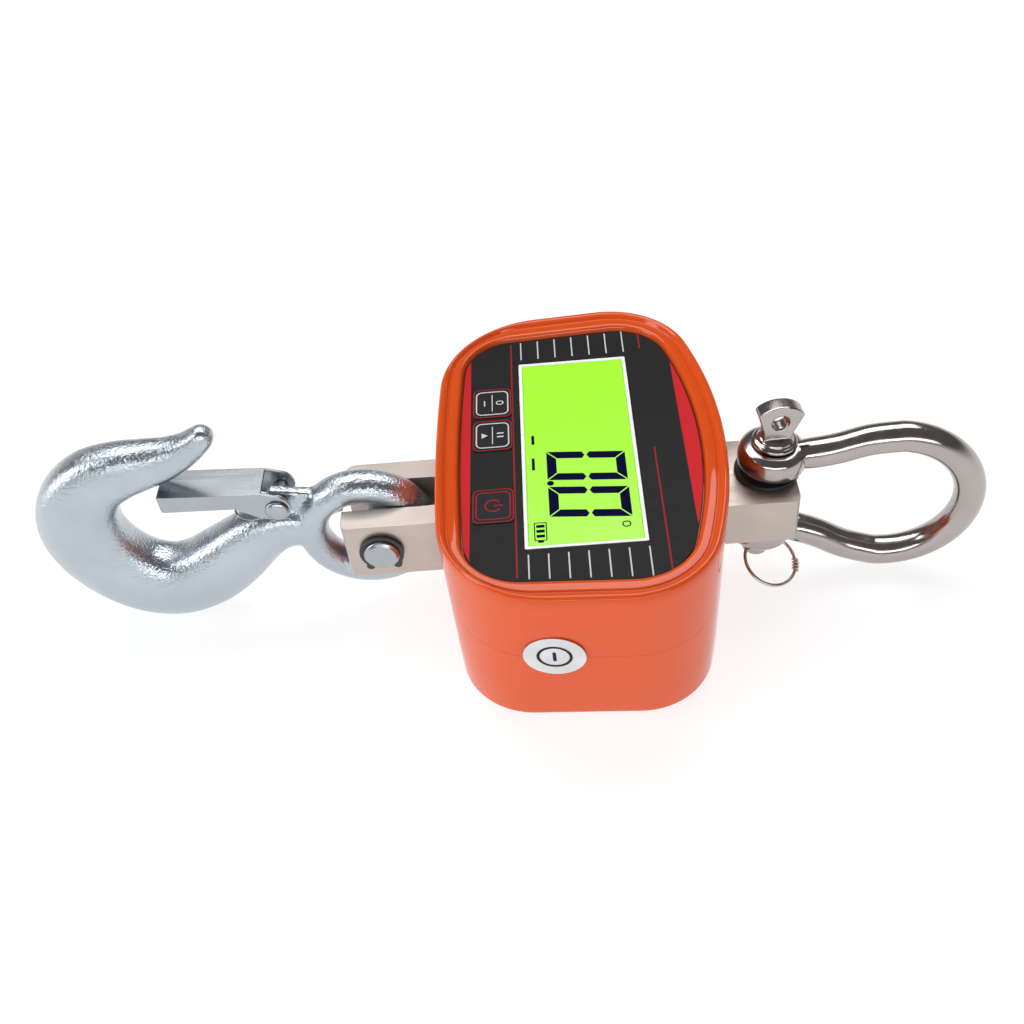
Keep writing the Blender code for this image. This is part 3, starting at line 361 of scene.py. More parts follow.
def turned(profile, centre=(0, 0, 0), steps=48):
    """A solid of revolution about a line along Z, from (radius, height) pairs."""
    cx, cy, cz = centre
    return loft([[(cx + u, cy + v, cz + height) for u, v in circle(0, 0, radius, steps)]
                 for radius, height in profile])


def smooth_path(points, steps):
    """A Catmull-Rom curve through points of any dimension."""
    ends = [points[0]] + list(points) + [points[-1]]
    path = []
    for i in range(1, len(ends) - 2):
        near = ends[i - 1:i + 3]
        for j in range(steps):
            t = j / steps
            weights = (-t + 2 * t**2 - t**3, 2 - 5 * t**2 + 3 * t**3, t + 4 * t**2 - 3 * t**3, t**3 - t**2)
            path.append(tuple(sum(w * v for w, v in zip(weights, values)) / 2 for values in zip(*near)))
    path.append(tuple(points[-1]))
    return path


def tube(points, radius, radii=None, cyclic=False, resolution=6):
    """A round wire along points, as a mesh."""
    curve = bpy.data.curves.new("tube", "CURVE")
    curve.dimensions = "3D"
    curve.bevel_depth = radius * MM
    curve.bevel_resolution = resolution
    curve.use_fill_caps = not cyclic
    spline = curve.splines.new("POLY")
    spline.points.add(len(points) - 1)
    for i, point in enumerate(points):
        spline.points[i].co = (*(Vector(point) * MM), 1.0)
        spline.points[i].radius = radii[i] if radii else 1.0
    spline.use_cyclic_u = cyclic
    guide = bpy.data.objects.new("guide", curve)
    return applied(guide)


def applied(guide):
    """The mesh an object turns into with its modifiers, after which the object is gone."""
    bpy.context.scene.collection.objects.link(guide)
    bpy.context.view_layer.update()
    data = bpy.data.meshes.new_from_object(guide.evaluated_get(bpy.context.evaluated_depsgraph_get()))
    bpy.data.objects.remove(guide)
    build = bmesh.new()
    build.from_mesh(data)
    return cleaned(build)


def combined(data, operation, *others):
    """Meshes joined or cut with exact Booleans."""
    guide = bpy.data.objects.new("target", data)
    tools = []
    for other in others:
        tool = bpy.data.objects.new("tool", other)
        bpy.context.scene.collection.objects.link(tool)
        step = guide.modifiers.new("boolean", "BOOLEAN")
        step.operation = operation
        step.object = tool
        step.solver = "EXACT"
        tools.append(tool)
    made = applied(guide)
    for tool in tools:
        bpy.data.objects.remove(tool)
    return made


def forged(data, grain, passes):
    """A mesh made again from small even faces and smoothed, so that its joins run into each other."""
    guide = bpy.data.objects.new("forging", data)
    remesh = guide.modifiers.new("remesh", "REMESH")
    remesh.mode = "VOXEL"
    remesh.voxel_size = grain * MM
    blend = guide.modifiers.new("blend", "SMOOTH")
    blend.factor = 0.5
    blend.iterations = passes
    return applied(guide)


def block(x0, x1, y0, y1, z0, z1):
    """A plain box between two limits on each axis."""
    return plate([(x0, y0), (x1, y0), (x1, y1), (x0, y1)], z0, z1)


def rounded(node, name, look, body, width, smooth=30):
    """A CAD node's own shape with its sharp edges broken by a small radius."""
    build = bmesh.new()
    build.from_mesh(frame["nodes"][node].data)
    bmesh.ops.remove_doubles(build, verts=build.verts, dist=0.002 * MM)
    flat = math.radians(1.0)
    bmesh.ops.dissolve_limit(build, angle_limit=flat, verts=build.verts, edges=build.edges)
    data = cleaned(build)
    obj = piece(name, data, look, body, (node,), smooth)
    edge = obj.modifiers.new("edge", "BEVEL")
    edge.width = width * MM
    edge.segments = 3
    edge.limit_method = "ANGLE"
    edge.angle_limit = math.radians(40)
    edge.use_clamp_overlap = True
    return obj


# ---------------------------------------------------------------- case

def corner_centre(side_y, corner, arc_x, arc_reach, side):
    """Centre of a corner circle that touches the sloped side and sits arc_reach from (arc_x, 0)."""
    along = Vector((math.cos(SIDE_SLOPE), math.sin(SIDE_SLOPE)))
    outward = Vector((-along.y, along.x))
    start = Vector((0.0, side_y)) - outward * corner
    gap = start - Vector((arc_x, 0.0))
    b = gap.dot(along)
    root = math.sqrt(b * b - gap.dot(gap) + arc_reach**2)
    return start + along * (-b + side * root)


def case_outline(z, ends, sides, hook_growth, shackle_growth):
    """One ring of the case, outside the overlay's edge by ends in X and sides in Y."""
    side_y = SIDE_Y + sides
    hook_corner = HOOK_CORNER + hook_growth
    shackle_corner = SHACKLE_CORNER + shackle_growth
    hook_radius = HOOK_SIDE_RADIUS + ends
    shackle_radius = SHACKLE_SIDE_RADIUS + ends
    hook_x = HOOK_SIDE_X + HOOK_SIDE_RADIUS
    shackle_x = SHACKLE_SIDE_X - SHACKLE_SIDE_RADIUS
    hook_at = corner_centre(side_y, hook_corner, hook_x, hook_radius - hook_corner, -1)
    shackle_at = corner_centre(side_y, shackle_corner, shackle_x, shackle_radius - shackle_corner, 1)
    top = 90 + math.degrees(SIDE_SLOPE)
    shackle_turn = math.degrees(math.atan2(shackle_at.y, shackle_at.x - shackle_x))
    hook_turn = math.degrees(math.atan2(hook_at.y, hook_at.x - hook_x))
    far = arc(shackle_x, 0, shackle_radius, 0, shackle_turn, 14)[1:-1]
    far += arc(*shackle_at, shackle_corner, shackle_turn, top, 24)
    far += arc(*hook_at, hook_corner, top, hook_turn, 24)
    far += arc(hook_x, 0, hook_radius, hook_turn, 180, 6)[1:-1]
    near = [(x, -y) for x, y in reversed(far)]
    outline = [(SHACKLE_SIDE_X + ends, 0.0)] + far + [(HOOK_SIDE_X - ends, 0.0)] + near
    return [(x, y, z) for x, y in outline]


def rim_ring(share, z):
    """A ring of the rim: share 0 is the overlay's edge and share 1 is the top of the outer wall."""
    return case_outline(z, *(share * growth for growth in RIM_GROWTH))


def wall_ring(z, inset=0.0):
    """A ring of the drafted wall at height z, moved inwards by inset."""
    share = (PANEL_Z + 1 - z) / (PANEL_Z + 1 - REAR_Z)
    growth = (rim + (rear - rim) * share - inset for rim, rear in zip(RIM_GROWTH, REAR_GROWTH))
    return case_outline(z, *growth)


def end_openings():
    """Cutters for the wall openings that the bar leaves by."""
    cutters = []
    for x0, x1, half_z in ((-60, -40, FORK_HALF_Z), (40, 62, LUG_HALF_Z)):
        reach_y = BAR_HALF_Y + OPENING_MARGIN
        reach_z = half_z + OPENING_MARGIN
        cutters.append(block(x0, x1, -reach_y, reach_y, LOAD_Z - reach_z, LOAD_Z + reach_z))
    return cutters


def front_housing():
    """The front shell, with a bead, a groove and a land round the display's recess."""
    rim = [
        (1.0, RIM_Z - 2.6), (0.97, RIM_Z - 0.9), (0.89, RIM_Z - 0.1), (0.79, RIM_Z), (0.69, RIM_Z - 0.5),
        (0.62, RIM_Z - 1.5), (0.56, RIM_Z - 1.7), (0.50, RIM_Z - 1.35), (0.34, RIM_Z - 1.15),
        (0.20, RIM_Z - 1.2), (0.13, RIM_Z - 1.6), (0.08, RIM_Z - 2.6), (0.03, FLOOR_Z),
    ]
    bottom = LOAD_Z + SEAM / 2
    rings = [wall_ring(CEILING_Z, WALL), wall_ring(bottom, WALL)]
    rings += [wall_ring(bottom + rise) for rise in (0.0, 0.5, 15.0)]
    rings.append(wall_ring(RIM_Z - 6.0))
    rings += [rim_ring(share, z) for share, z in smooth_path(rim, 4)]
    cuts = end_openings()
    cuts.append(plate(rounded_box(0, 0, LCD_X + 0.2, LCD_Y + 0.2, LCD_CORNER), CEILING_Z - 1, FLOOR_Z + 1))
    for row in KEY_ROWS.values():
        cuts.append(turned([(3.0, CEILING_Z - 1), (3.0, FLOOR_Z + 1)], (KEY_CENTRE_X, row, 0), 24))
    data = combined(loft(rings), "DIFFERENCE", *cuts)
    piece("front_shell", data, "case_orange", stands_for=("front_housing",), smooth=42)


def battery_outline(grow):
    """The battery bay's opening, made wider all round by half of grow."""
    return rounded_box(BATTERY_X, BATTERY_Y, 58.0 + grow, 44.1 + grow, 3.0 + grow / 2)


def rear_housing():
    """The rear shell, with its screw recesses and the battery bay's opening."""
    top = LOAD_Z - SEAM / 2
    inside = REAR_Z + WALL
    rings = [wall_ring(inside, WALL + 1.5), wall_ring(inside + 1.6, WALL)]
    rings += [wall_ring(top, WALL), wall_ring(top), wall_ring(top - 0.5), wall_ring(REAR_Z + 20)]
    for step in range(9):
        turn = math.radians(90 * step / 8)
        level = REAR_Z + REAR_ROUND * (1 - math.sin(turn))
        rings.append(wall_ring(level, REAR_ROUND * (1 - math.cos(turn))))
    cuts = end_openings()
    for x, y in HOUSING_SCREWS:
        cuts.append(turned([(SCREW_RECESS, REAR_Z - 1), (SCREW_RECESS, inside + 2)], (x, y, 0), 32))
    for x in LOAD_CELL_SCREWS:
        cuts.append(turned([(5.2, REAR_Z - 1), (5.2, inside + 2)], (x, 0, 0), 32))
    cuts.append(plate(battery_outline(0), REAR_Z - 1, inside + 1))
    cuts.append(plate(battery_outline(3), REAR_Z - 1, REAR_Z + 1.8))
    data = combined(loft(rings), "DIFFERENCE", *cuts)
    piece("rear_shell", data, "case_orange", stands_for=("rear_housing",), smooth=42)
    screw_wells()


def screw_wells():
    """A cup under each housing screw: a wall, and a floor with the screw's hole."""
    outer, inner, hole = 5.4, SCREW_RECESS, 1.8
    start, bottom, back = REAR_Z + 1.0, REAR_Z + 6.0, REAR_Z + 8.0
    profile = [(inner, start), (inner, bottom), (hole, bottom), (hole, back), (outer, back), (outer, start)]
    for number, (x, y) in enumerate(HOUSING_SCREWS, 1):
        rings = [[(x + u, y + v, z) for u, v in circle(0, 0, radius, 32)] for radius, z in profile]
        piece(f"screw_well_{number}", loft(rings, loop=True), "case_orange")


# ---------------------------------------------------------------- display

def overlay():
    """The film over the recess, with its display window and key openings."""
    cuts = [plate(rounded_box(0, 0, LCD_X, LCD_Y, LCD_CORNER), FLOOR_Z - 1, PANEL_Z + 1)]
    for row in KEY_ROWS.values():
        hole = rounded_box(KEY_CENTRE_X, row, KEY_X + 2 * GAP, KEY_Y + 2 * GAP, 2.0 + GAP)
        cuts.append(plate(hole, FLOOR_Z - 1, PANEL_Z + 1))
    data = loft([rim_ring(0.0, FLOOR_Z + 0.2), rim_ring(0.0, PANEL_Z)])
    data = combined(data, "DIFFERENCE", *cuts)
    piece("overlay_film", data, "overlay_black", stands_for=("display_overlay",))


def ink(name, outline, look="print_white", z=PANEL_Z + INK_LIFT, body="case"):
    """A thin printed shape standing a hair off its surface."""
    piece(name, plate(outline, z - INK_THICK, z), look, body)


def bar_outline(x0, y0, x1, y1, width):
    """The outline of a straight printed line."""
    start, end = Vector((x0, y0)), Vector((x1, y1))
    along = (end - start).normalized()
    side = Vector((-along.y, along.x)) * width / 2
    return [tuple(start + side), tuple(start - side), tuple(end - side), tuple(end + side)]


def frame_outline(name, cx, cy, width, height, radius, line, look, z=PANEL_Z + INK_LIFT, body="case"):
    """A printed rounded frame."""
    outer = rounded_box(cx, cy, width, height, radius)
    inner = rounded_box(cx, cy, width - 2 * line, height - 2 * line, radius - line)
    low = z - INK_THICK
    edges = ((outer, low), (outer, z), (inner, z), (inner, low))
    rings = [[(x, y, level) for x, y in edge] for edge, level in edges]
    piece(name, loft(rings, loop=True), look, body)


def red_crescents():
    """The red areas between the overlay's curved ends and a straight edge."""
    edge = [(x, y) for x, y, _ in rim_ring(0.0, 0)]
    inner = [(x * 0.993, y * 0.996) for x, y in edge]
    hook_side = [(x, y) for x, y in inner if x < -40.2 and abs(y) < 56.0]
    ink("crescent_hook_side", hook_side, "print_red")
    shackle_side = [(x, y) for x, y in inner if x > 38.0 and -47.5 < y < 47.5]
    shackle_side.sort(key=lambda p: p[1])
    ink("crescent_shackle_side", shackle_side, "print_red")


def scale_ticks():
    """White ticks beyond both ends of the display, out almost to the overlay's sloped sides."""
    for side, label in ((1, "far"), (-1, "near")):
        for i in range(TICKS):
            x = TICK_START_X + TICK_PITCH * i
            reach = SIDE_Y + TICK_SLOPE * x - TICK_MARGIN
            ink(f"tick_{label}_{i + 1}", bar_outline(x, side * TICK_START_Y, x, side * reach, 0.5))


def red_lines():
    """Two thin lines beside the display; the second is broken where a title would stand."""
    ink("line_hook_side", bar_outline(-24.6, -65.2, -24.6, 65.2, 0.6), "line_red")
    ink("line_shackle_side_near", bar_outline(28.2, -67.6, 28.2, -4.0, 0.6), "line_red")
    ink("line_shackle_side_far", bar_outline(28.2, 56.0, 28.2, 67.6, 0.6), "line_red")


def key_print(node, row):
    """A key's printed frames and its plain symbol."""
    body = f"{node}_body"
    z = KEY_TOP_Z + INK_LIFT
    cx = KEY_CENTRE_X
    frame_outline(f"{node}_outer", cx, row, KEY_X - 0.4, KEY_Y - 0.4, 2.6, 0.45, "line_red", z, body)
    look = "line_red" if node == "power_key" else "print_white"
    frame_outline(f"{node}_inner", cx, row, 12.9, 14.2, 2.4, 0.5, look, z, body)
    if node == "power_key":
        ring = arc(cx, row, 3.2, 38, 322, 28) + arc(cx, row, 2.6, 322, 38, 28)
        ink("power_key_ring", ring, look, z, body)
        ink("power_key_bar", bar_outline(cx + 0.4, row, cx + 3.6, row, 0.6), look, z, body)
        return
    ink(f"{node}_divider", bar_outline(cx, row - 5.0, cx, row + 5.0, 0.35), look, z, body)
    if node == "tare_key":
        frame_outline("tare_key_zero", cx + 3.0, row, 3.0, 2.4, 1.1, 0.45, look, z, body)
        ink("tare_key_dash", bar_outline(cx - 3.0, row - 1.6, cx - 3.0, row + 1.6, 0.5), look, z, body)
    else:
        for number, y in enumerate((row - 1.0, row + 1.0)):
            ink(f"hold_key_pause_{number}", bar_outline(cx + 1.7, y, cx + 4.3, y, 0.7), look, z, body)
        ink("hold_key_tip", [(cx - 4.2, row - 1.5), (cx - 4.2, row + 1.5), (cx - 1.8, row)], look, z, body)


def leaning(points, foot_x):
    """Points of a digit, slanted towards -Y as they rise above its foot."""
    return [(x, y - (x - foot_x) * DIGIT_LEAN) for x, y in points]


def digit_segments(x0, x1, y0, y1, width):
    """The six outer segments of a zero: text-up is +X, and the digit reads towards -Y."""
    middle = (x0 + x1) / 2
    gap = 0.35
    shapes = []
    for start, end, mitre in ((x0 + gap, middle - gap, -1), (middle + gap, x1 - gap, 1)):
        for side, y in ((1, y1), (-1, y0)):
            shapes.append(upright_segment(start, end, y, side, width, mitre))
    for x, side in ((x0, 1), (x1, -1)):
        inner = x + side * width
        shapes.append([(x, y0 + gap), (x, y1 - gap), (inner, y1 - width - gap), (inner, y0 + width + gap)])
    return [leaning(shape, x0) for shape in shapes]


def upright_segment(start, end, y, side, width, mitre):
    """An upright: a corner mitre at its foot (mitre -1) or its top (1), a blunt point at the other end."""
    inner = y - side * width
    point_y = y - side * width / 2
    blunt = 0.3 * width
    if mitre < 0:
        return [(start, y), (end - blunt, y), (end, point_y), (end - blunt, inner), (start + width, inner)]
    return [(start + blunt, y), (end, y), (end - width, inner), (start + blunt, inner), (start, point_y)]


def reading():
    """The display's zero reading, battery symbol and small marks, printed on the lens."""
    z = GLASS_Z + INK_LIFT
    for number, y in enumerate(DIGIT_NEAR_Y, 1):
        shapes = digit_segments(DIGIT_FOOT_X, DIGIT_TOP_X, y, y + DIGIT_WIDTH, DIGIT_STROKE)
        for part, shape in enumerate(shapes, 1):
            ink(f"digit_{number}_{part}", shape, "digit_navy", z)
    ink("decimal_point", circle(-11.4, -19.4, 1.3, 24), "digit_navy", z)
    frame_outline("battery_case", -15.9, -43.6, 4.6, 9.0, 0.5, 0.4, "digit_navy", z)
    ink("battery_tip", bar_outline(-15.9, -48.1, -15.9, -49.0, 2.0), "digit_navy", z)
    for i in range(3):
        y = -41.0 - 2.4 * i
        ink(f"battery_bar_{i + 1}", bar_outline(-17.4, y, -14.4, y, 1.4), "digit_navy", z)
    for i, (x, y, length) in enumerate(((-17.2, 5.0, 5.0), (-17.4, -8.5, 6.5)), 1):
        ink(f"status_mark_{i}", bar_outline(x, y + length / 2, x, y - length / 2, 1.1), "digit_navy", z)
    frame_outline("unit_mark", 14.6, -42.8, 3.2, 3.0, 1.4, 0.5, "digit_navy", z)


def display():
    """Everything on the front: overlay, lens, prints and keys."""
    overlay()
    rounded("lcd_bezel", "bezel", "white_plastic", "case", 0.12)
    rounded("lcd_glass", "lens", "lcd_green", "case", 0.15)
    red_crescents()
    scale_ticks()
    red_lines()
    for node, row in KEY_ROWS.items():
        rounded(node, f"{node}_cap", "key_black", f"{node}_body", 0.2)
        key_print(node, row)
    reading()


def sticker_mark():
    """A plain dark bar and ring on the round sticker, in place of its printed mark."""
    low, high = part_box("round_sticker")
    centre = (low + high) / 2
    source = frame["nodes"]["round_sticker"].data
    normal = max((p.normal.copy() for p in source.polygons if p.normal.y < 0), key=lambda n: -n.y)
    across = normal.cross(Vector((0, 0, 1))).normalized()
    up = across.cross(normal).normalized()
    at = Matrix((across, up, normal)).transposed().to_4x4()
    at.translation = centre + normal * 0.13 * MM
    outer, inner = 6.4, 5.3
    edges = ((outer, 0), (outer, INK_THICK), (inner, INK_THICK), (inner, 0))
    rings = [[(x, y, z) for x, y in circle(0, 0, radius, 48)] for radius, z in edges]
    piece("sticker_ring", loft(rings, loop=True), "overlay_black", place=at)
    piece("sticker_bar", plate(rounded_box(0, 0, 1.3, 5.6, 0.6), 0, INK_THICK), "overlay_black", place=at)


# ---------------------------------------------------------------- hook

def hook_spine():
    """Stations down the hook: X, Z, half depth in the hook's plane, half thickness along Y."""
    return [
        (-106.0, 38.5, 8.5, 6.8),
        (-118.0, 40.8, 9.6, 7.8),
        (-130.0, 37.0, 12.0, 9.6),
        (-145.0, 25.6, 14.6, 11.4),
        (-158.0, 17.2, 15.6, 12.0),
        (-171.5, 14.2, 16.4, 12.4),
        (-185.0, 19.3, 16.8, 12.4),
        (-195.6, 32.0, 17.0, 12.0),
        (-199.8, 47.0, 16.8, 11.6),
        (-196.4, 61.2, 15.6, 11.0),
        (-187.6, 71.4, 13.6, 10.4),
        (-176.8, 76.2, 11.7, 9.6),
        (-166.0, 78.6, 10.0, 8.4),
        (-156.0, 80.8, 8.2, 7.2),
        (-147.6, 84.4, 6.4, 6.0),
        (-141.0, 89.0, 5.1, 5.0),
        (-138.2, 91.6, 4.0, 4.0),
        (-136.9, 92.9, 2.2, 2.2),
    ]


def forged_section(depth, thick, steps=44):
    """A drop-forged section: fuller than an oval, by a power above 2."""
    power = 2.5
    points = []
    for u, v in circle(0, 0, 1.0, steps):
        fuller = 1.0 / (abs(u)**power + abs(v)**power)**(1 / power)
        points.append((u * fuller * depth, v * fuller * thick))
    return points


def hook_bend():
    """The curved part of the hook, as a mesh of sections square to its spine."""
    stations = smooth_path(hook_spine(), 5)
    rings = []
    for i, (x, z, depth, thick) in enumerate(stations):
        before, after = stations[max(i - 1, 0)], stations[min(i + 1, len(stations) - 1)]
        along = math.atan2(after[1] - before[1], after[0] - before[0])
        lean, rise = math.sin(along), math.cos(along)
        section = forged_section(depth, thick)
        rings.append([(x - lean * u, v, z + rise * u) for u, v in section])
    return loft(rings)


def hook_eye():
    """The eye: an oval wire swept round a circle in the hook's plane."""
    rings = []
    for u, v in circle(0, 0, 1.0, 72):
        wire = [(EYE_RADIUS + EYE_WIRE * a, EYE_HALF_Y * b) for a, b in circle(0, 0, 1.0, 28)]
        rings.append([(EYE_X + u * reach, y, EYE_Z + v * reach) for reach, y in wire])
    return loft(rings, loop=True)


def hook():
    """Bend, eye and the flat lug that carries the latch, forged into one."""
    outline = [(-123.0, 44.0), (-123.0, 59.0), (-120.6, 61.2), (-105.0, 58.3), (-94.0, 58.0), (-94.0, 47.0)]
    lug = loft([[(x, y, z) for x, z in outline] for y in (-2.5, 2.5)])
    data = combined(hook_bend(), "UNION", hook_eye(), lug)
    piece("forged_hook", forged(data, 0.9, 5), "zinc_steel", "hook_body", ("hook",), 180)


def latch_spring():
    """The torsion spring on the rivet. Its upper leg turns with the latch, and its lower loop stays put."""
    coil = []
    for i in range(45):
        turn = math.radians(110 - 620 * i / 44)
        u, v = 3.5 * math.cos(turn), 3.5 * math.sin(turn)
        coil.append((RIVET_X + u, -3.6 - 2.3 * i / 44, RIVET_Z + v))
    upper = [(-150.0, -3.6, 64.6), (-136.0, -3.6, 63.4), (-124.0, -3.6, 62.0)]
    lower = [(-125.0, -6.2, 52.0), (-129.6, -6.2, 50.8), (-134.0, -5.0, 51.6)]
    lower += [(-136.0, -2.6, 51.8), (-136.4, 0.0, 51.4), (-134.8, 2.4, 51.0), (-131.6, 3.6, 51.2)]
    leg = smooth_path(upper + coil[:26], 3)
    loop = smooth_path(coil[18:] + lower, 3)
    piece("spring_leg", tube(leg, SPRING_WIRE), "zinc_sheet", "latch_body", smooth=60)
    piece("spring_loop", tube(loop, SPRING_WIRE), "zinc_sheet", "hook_body", ("latch_spring",), 60)


def hook_end():
    """The hook and its latch, the clevis pin and the bar they hang from."""
    hook()
    latch_spring()
    rounded("latch", "latch_channel", "zinc_sheet", "latch_body", 0.25, 40)
    rounded("latch_rivet", "rivet", "zinc_sheet", "hook_body", 0.3, 40)
    rounded("clevis_pin", "clevis", "zinc_sheet", "clevis", 0.3, 40)
    rounded("load_cell", "steel_bar", "nickel_steel", "case", 0.5, 40)


# ---------------------------------------------------------------- shackle

def shackle_place(turn):
    """The shackle pin's leaning axis, turned about itself."""
    lean = Matrix.Rotation(SHACKLE_TILT, 4, "Y")
    return Matrix.Translation(Vector((SHACKLE_X, 0, LOAD_Z)) * MM) @ lean @ Matrix.Rotation(turn, 4, "Z")


def bow():
    """Polished bar bent to a bow, with a flattened eye on each end."""
    leg = JAW_HALF + EAR_THICK / 2
    side = [(4.0, leg), (12.0, leg + 0.7), (23.0, 22.6), (35.0, 28.0), (BOW_CENTRE, BOW_RADIUS)]
    upper = smooth_path(side, 8) + arc(BOW_CENTRE, 0, BOW_RADIUS, 90, 0, 24)[1:]
    path = upper + [(x, -z) for x, z in reversed(upper[:-1])]
    path = [(x, 0, z + JAW_SHIFT) for x, z in path]
    radii = [min(1.0, (EAR_THICK / 2 - 0.5 + (x - 4.0) * 0.12) / WIRE_RADIUS) for x, _, _ in path]
    ears = []
    low, high = JAW_HALF, JAW_HALF + EAR_THICK
    profile = [
        (EAR_RADIUS - 2.4, low), (EAR_RADIUS - 0.5, low + 1.0), (EAR_RADIUS, low + 2.8),
        (EAR_RADIUS, high - 3.8), (EAR_RADIUS - 1.0, high - 1.4), (EAR_RADIUS - 3.4, high),
    ]
    for way in (1, -1):
        edge = [(radius, JAW_SHIFT + way * z) for radius, z in smooth_path(profile, 4)]
        ears.append(turned(edge, steps=64))
    data = forged(combined(tube(path, WIRE_RADIUS, radii, resolution=12), "UNION", *ears), 0.6, 6)
    jaw = block(-20, 14, -20, 20, JAW_SHIFT - JAW_HALF, JAW_SHIFT + JAW_HALF)
    bore = turned([(6.3, -40), (6.3, 40)], steps=48)
    data = combined(data, "DIFFERENCE", jaw, bore)
    piece("bow", data, "stainless", "shackle", ("shackle_bow",), 50, shackle_place(BOW_SWING))


def screw_pin():
    """The screw pin: shank, collar, a fan-shaped wing with an eye, and the ring's cross hole."""
    collar = JAW_SHIFT + JAW_HALF + EAR_THICK + GAP
    tip = -JAW_HALF - EAR_THICK - 9.0
    neck = JAW_SHIFT - JAW_HALF - EAR_THICK - 0.4
    profile = [
        (4.1, tip), (5.3, tip + 1.2), (5.3, neck - 0.7), (6.0, neck), (6.0, collar),
        (8.1, collar + 0.1), (8.6, collar + 0.7), (8.6, collar + 1.6), (8.0, collar + 2.2),
        (6.9, collar + 2.4), (6.6, collar + 3.4), (5.0, collar + 4.2),
    ]
    base, top = collar + 2.2, collar + 19.4
    wing = [(-4.8, base), (4.8, base), (6.0, base + 5.6), (8.7, top - 4.2)]
    wing += arc(0, top - 12.0, 12.0, 48, 132, 24)
    wing += [(-8.7, top - 4.2), (-6.0, base + 5.6)]
    fan = loft([[(x, y, z) for x, z in wing] for y in (-3.1, 3.1)])
    eye_z = base + 9.6
    eye = []
    for radius, y in ((4.1, -3.6), (3.1, -2.5), (3.1, 2.5), (4.1, 3.6)):
        eye.append([(x, y, eye_z + z) for x, z in circle(0, 0, radius, 40)])
    heading = RING_HEADING - PIN_TURN
    reach = Vector((-math.sin(heading), math.cos(heading), 0)) * 9
    start = Vector((0, 0, -RING_HOLE_DROP)) - reach
    cross_hole = tube([tuple(start), tuple(start + reach * 2)], 1.8)
    data = combined(turned(profile, steps=64), "UNION", fan)
    data = forged(combined(data, "DIFFERENCE", loft(eye), cross_hole), 0.35, 3)
    piece("pin", data, "stainless", "shackle_pin_body", ("shackle_pin",), 180, shackle_place(PIN_TURN))


def split_ring():
    """The sprung ring through the pin, closed by a few turns of its own wire."""
    heading = RING_HEADING - PIN_TURN
    outward = Vector((math.cos(heading), math.sin(heading), 0))
    along = Vector((-outward.y, outward.x, 0))
    across = outward * math.cos(RING_DROOP) - Vector((0, 0, math.sin(RING_DROOP)))
    centre = Vector((0, 0, -RING_HOLE_DROP)) + across * (RING_RADIUS - 0.7)
    points = [tuple(centre + across * u + along * v) for u, v in circle(0, 0, RING_RADIUS, 72)]
    place = shackle_place(PIN_TURN)
    wire = tube(points, RING_WIRE, cyclic=True)
    piece("ring_wire", wire, "nickel_wire", "ring", ("safety_ring",), 60, place)
    normal = across.cross(along)
    lay = 1.1                # from the ring wire's middle to that of the wire wound on it
    wound = []
    for i in range(61):
        share = i / 60
        turn = math.radians(38 + 26 * share)
        spin = math.radians(360 * 3.5 * share)
        radial = across * math.cos(turn) + along * math.sin(turn)
        in_plane = centre + radial * (RING_RADIUS + lay * math.cos(spin))
        wound.append(tuple(in_plane + normal * lay * math.sin(spin)))
    piece("ring_clasp", tube(wound, 0.42, resolution=3), "nickel_wire", "ring", smooth=60, place=place)


def shackle_end():
    """The bow, its screw pin with the ring, and the washer under the upper ear."""
    bow()
    split_ring()
    screw_pin()
    rounded("spacer_washer", "washer", "rubber", "case", 0.3, 40)


# ---------------------------------------------------------------- scene

def finish_cad_nodes():
    """Gives every CAD node that still shows its own finish."""
    slots = {entry["node"]: entry["material_slot"] for entry in frame["record"]["subparts"]}
    for name, obj in frame["nodes"].items():
        if obj.hide_render:
            continue
        look = "nickel_wire" if "screw" in name else slots[name]
        obj.data.materials.clear()
        obj.data.materials.append(LOOKS[look])


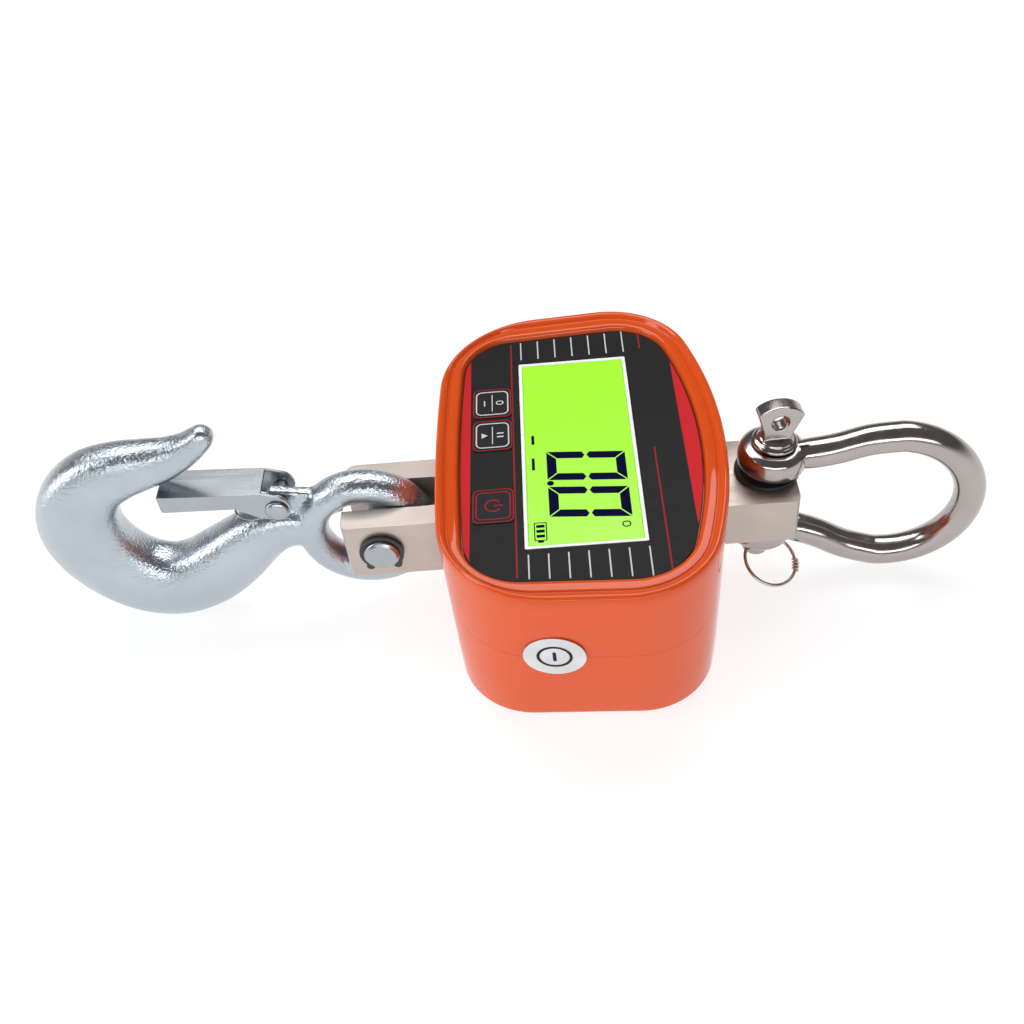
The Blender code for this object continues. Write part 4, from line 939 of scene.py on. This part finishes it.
def floor():
    """A plain pale floor under the lowest point, lit a little of its own so that it stays white."""
    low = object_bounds()[0].z / MM
    made = Nodes("floor_white", (0.30, 0.30, 0.30), 0.9)
    made.colour(made.noise(400), (0.29, 0.30, 0.30), (0.30, 0.31, 0.31))
    made.shader.inputs["Emission Color"].default_value = (1.0, 1.0, 1.0, 1.0)
    made.shader.inputs["Emission Strength"].default_value = 0.80
    reach, thick = 30000.0, 20.0
    top = low - GAP
    data = block(-reach, reach, -reach, reach, top - thick, top)
    obj = bpy.data.objects.new("floor", data)
    bpy.context.scene.collection.objects.link(obj)
    data.materials.append(made.made)
    obj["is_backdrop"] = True


def area_light(name, place, target, size, power):
    """A white rectangular light aimed at a point."""
    light = bpy.data.lights.new(name, "AREA")
    light.shape = "RECTANGLE"
    light.size, light.size_y = size
    light.energy = power
    obj = bpy.data.objects.new(name, light)
    bpy.context.scene.collection.objects.link(obj)
    obj.location = place
    obj.rotation_euler = (Vector(target) - Vector(place)).to_track_quat("-Z", "Y").to_euler()


def room():
    """A grey room whose walls are as pale as the far floor, and darker towards the ceiling."""
    world = bpy.data.worlds.new("room")
    world.use_nodes = True
    nodes, links = world.node_tree.nodes, world.node_tree.links
    split = nodes.new("ShaderNodeSeparateXYZ")
    links.new(nodes.new("ShaderNodeTexCoord").outputs["Generated"], split.inputs["Vector"])
    fade = nodes.new("ShaderNodeValToRGB")
    fade.color_ramp.elements[0].color = (0.85, 0.85, 0.85, 1)
    fade.color_ramp.elements[1].position = 0.24
    fade.color_ramp.elements[1].color = (0.14, 0.14, 0.14, 1)
    links.new(split.outputs["Z"], fade.inputs["Fac"])
    links.new(fade.outputs["Color"], nodes["Background"].inputs["Color"])
    bpy.context.scene.world = world


def lights():
    """A broad box overhead, one from the hook side and one low in front."""
    area_light("box_overhead", (-0.1, 0.6, 1.2), (0, 0, 0), (2.0, 0.7), 16)
    area_light("box_hook_side", (-1.2, -0.3, 0.6), (-0.1, 0, 0.03), (0.4, 1.0), 6)
    area_light("box_front", (0.1, -1.3, 0.6), (0, 0, 0.03), (1.8, 0.25), 8)
    bpy.context.scene.view_settings.view_transform = "Standard"


def camera():
    """A 42 mm view from in front and above, looking down at 45 degrees."""
    lens = bpy.data.cameras.new("camera")
    lens.sensor_width = 36.0
    lens.lens = 42.1875
    lens.clip_start = 0.01
    obj = bpy.data.objects.new("camera", lens)
    bpy.context.scene.collection.objects.link(obj)
    right = Vector((0.99594, -0.01772, -0.08826))
    up = Vector((0.07485, 0.70767, 0.70257))
    back = Vector((0.05001, -0.70633, 0.70612))
    turn = Matrix((right, up, back)).transposed().to_4x4()
    obj.matrix_world = Matrix.Translation(Vector((-4.24, -337.93, 375.81)) * MM) @ turn
    bpy.context.scene.camera = obj


camera()
front_housing()
rear_housing()
display()
sticker_mark()
hook_end()
shackle_end()
finish_cad_nodes()
floor()
room()
lights()
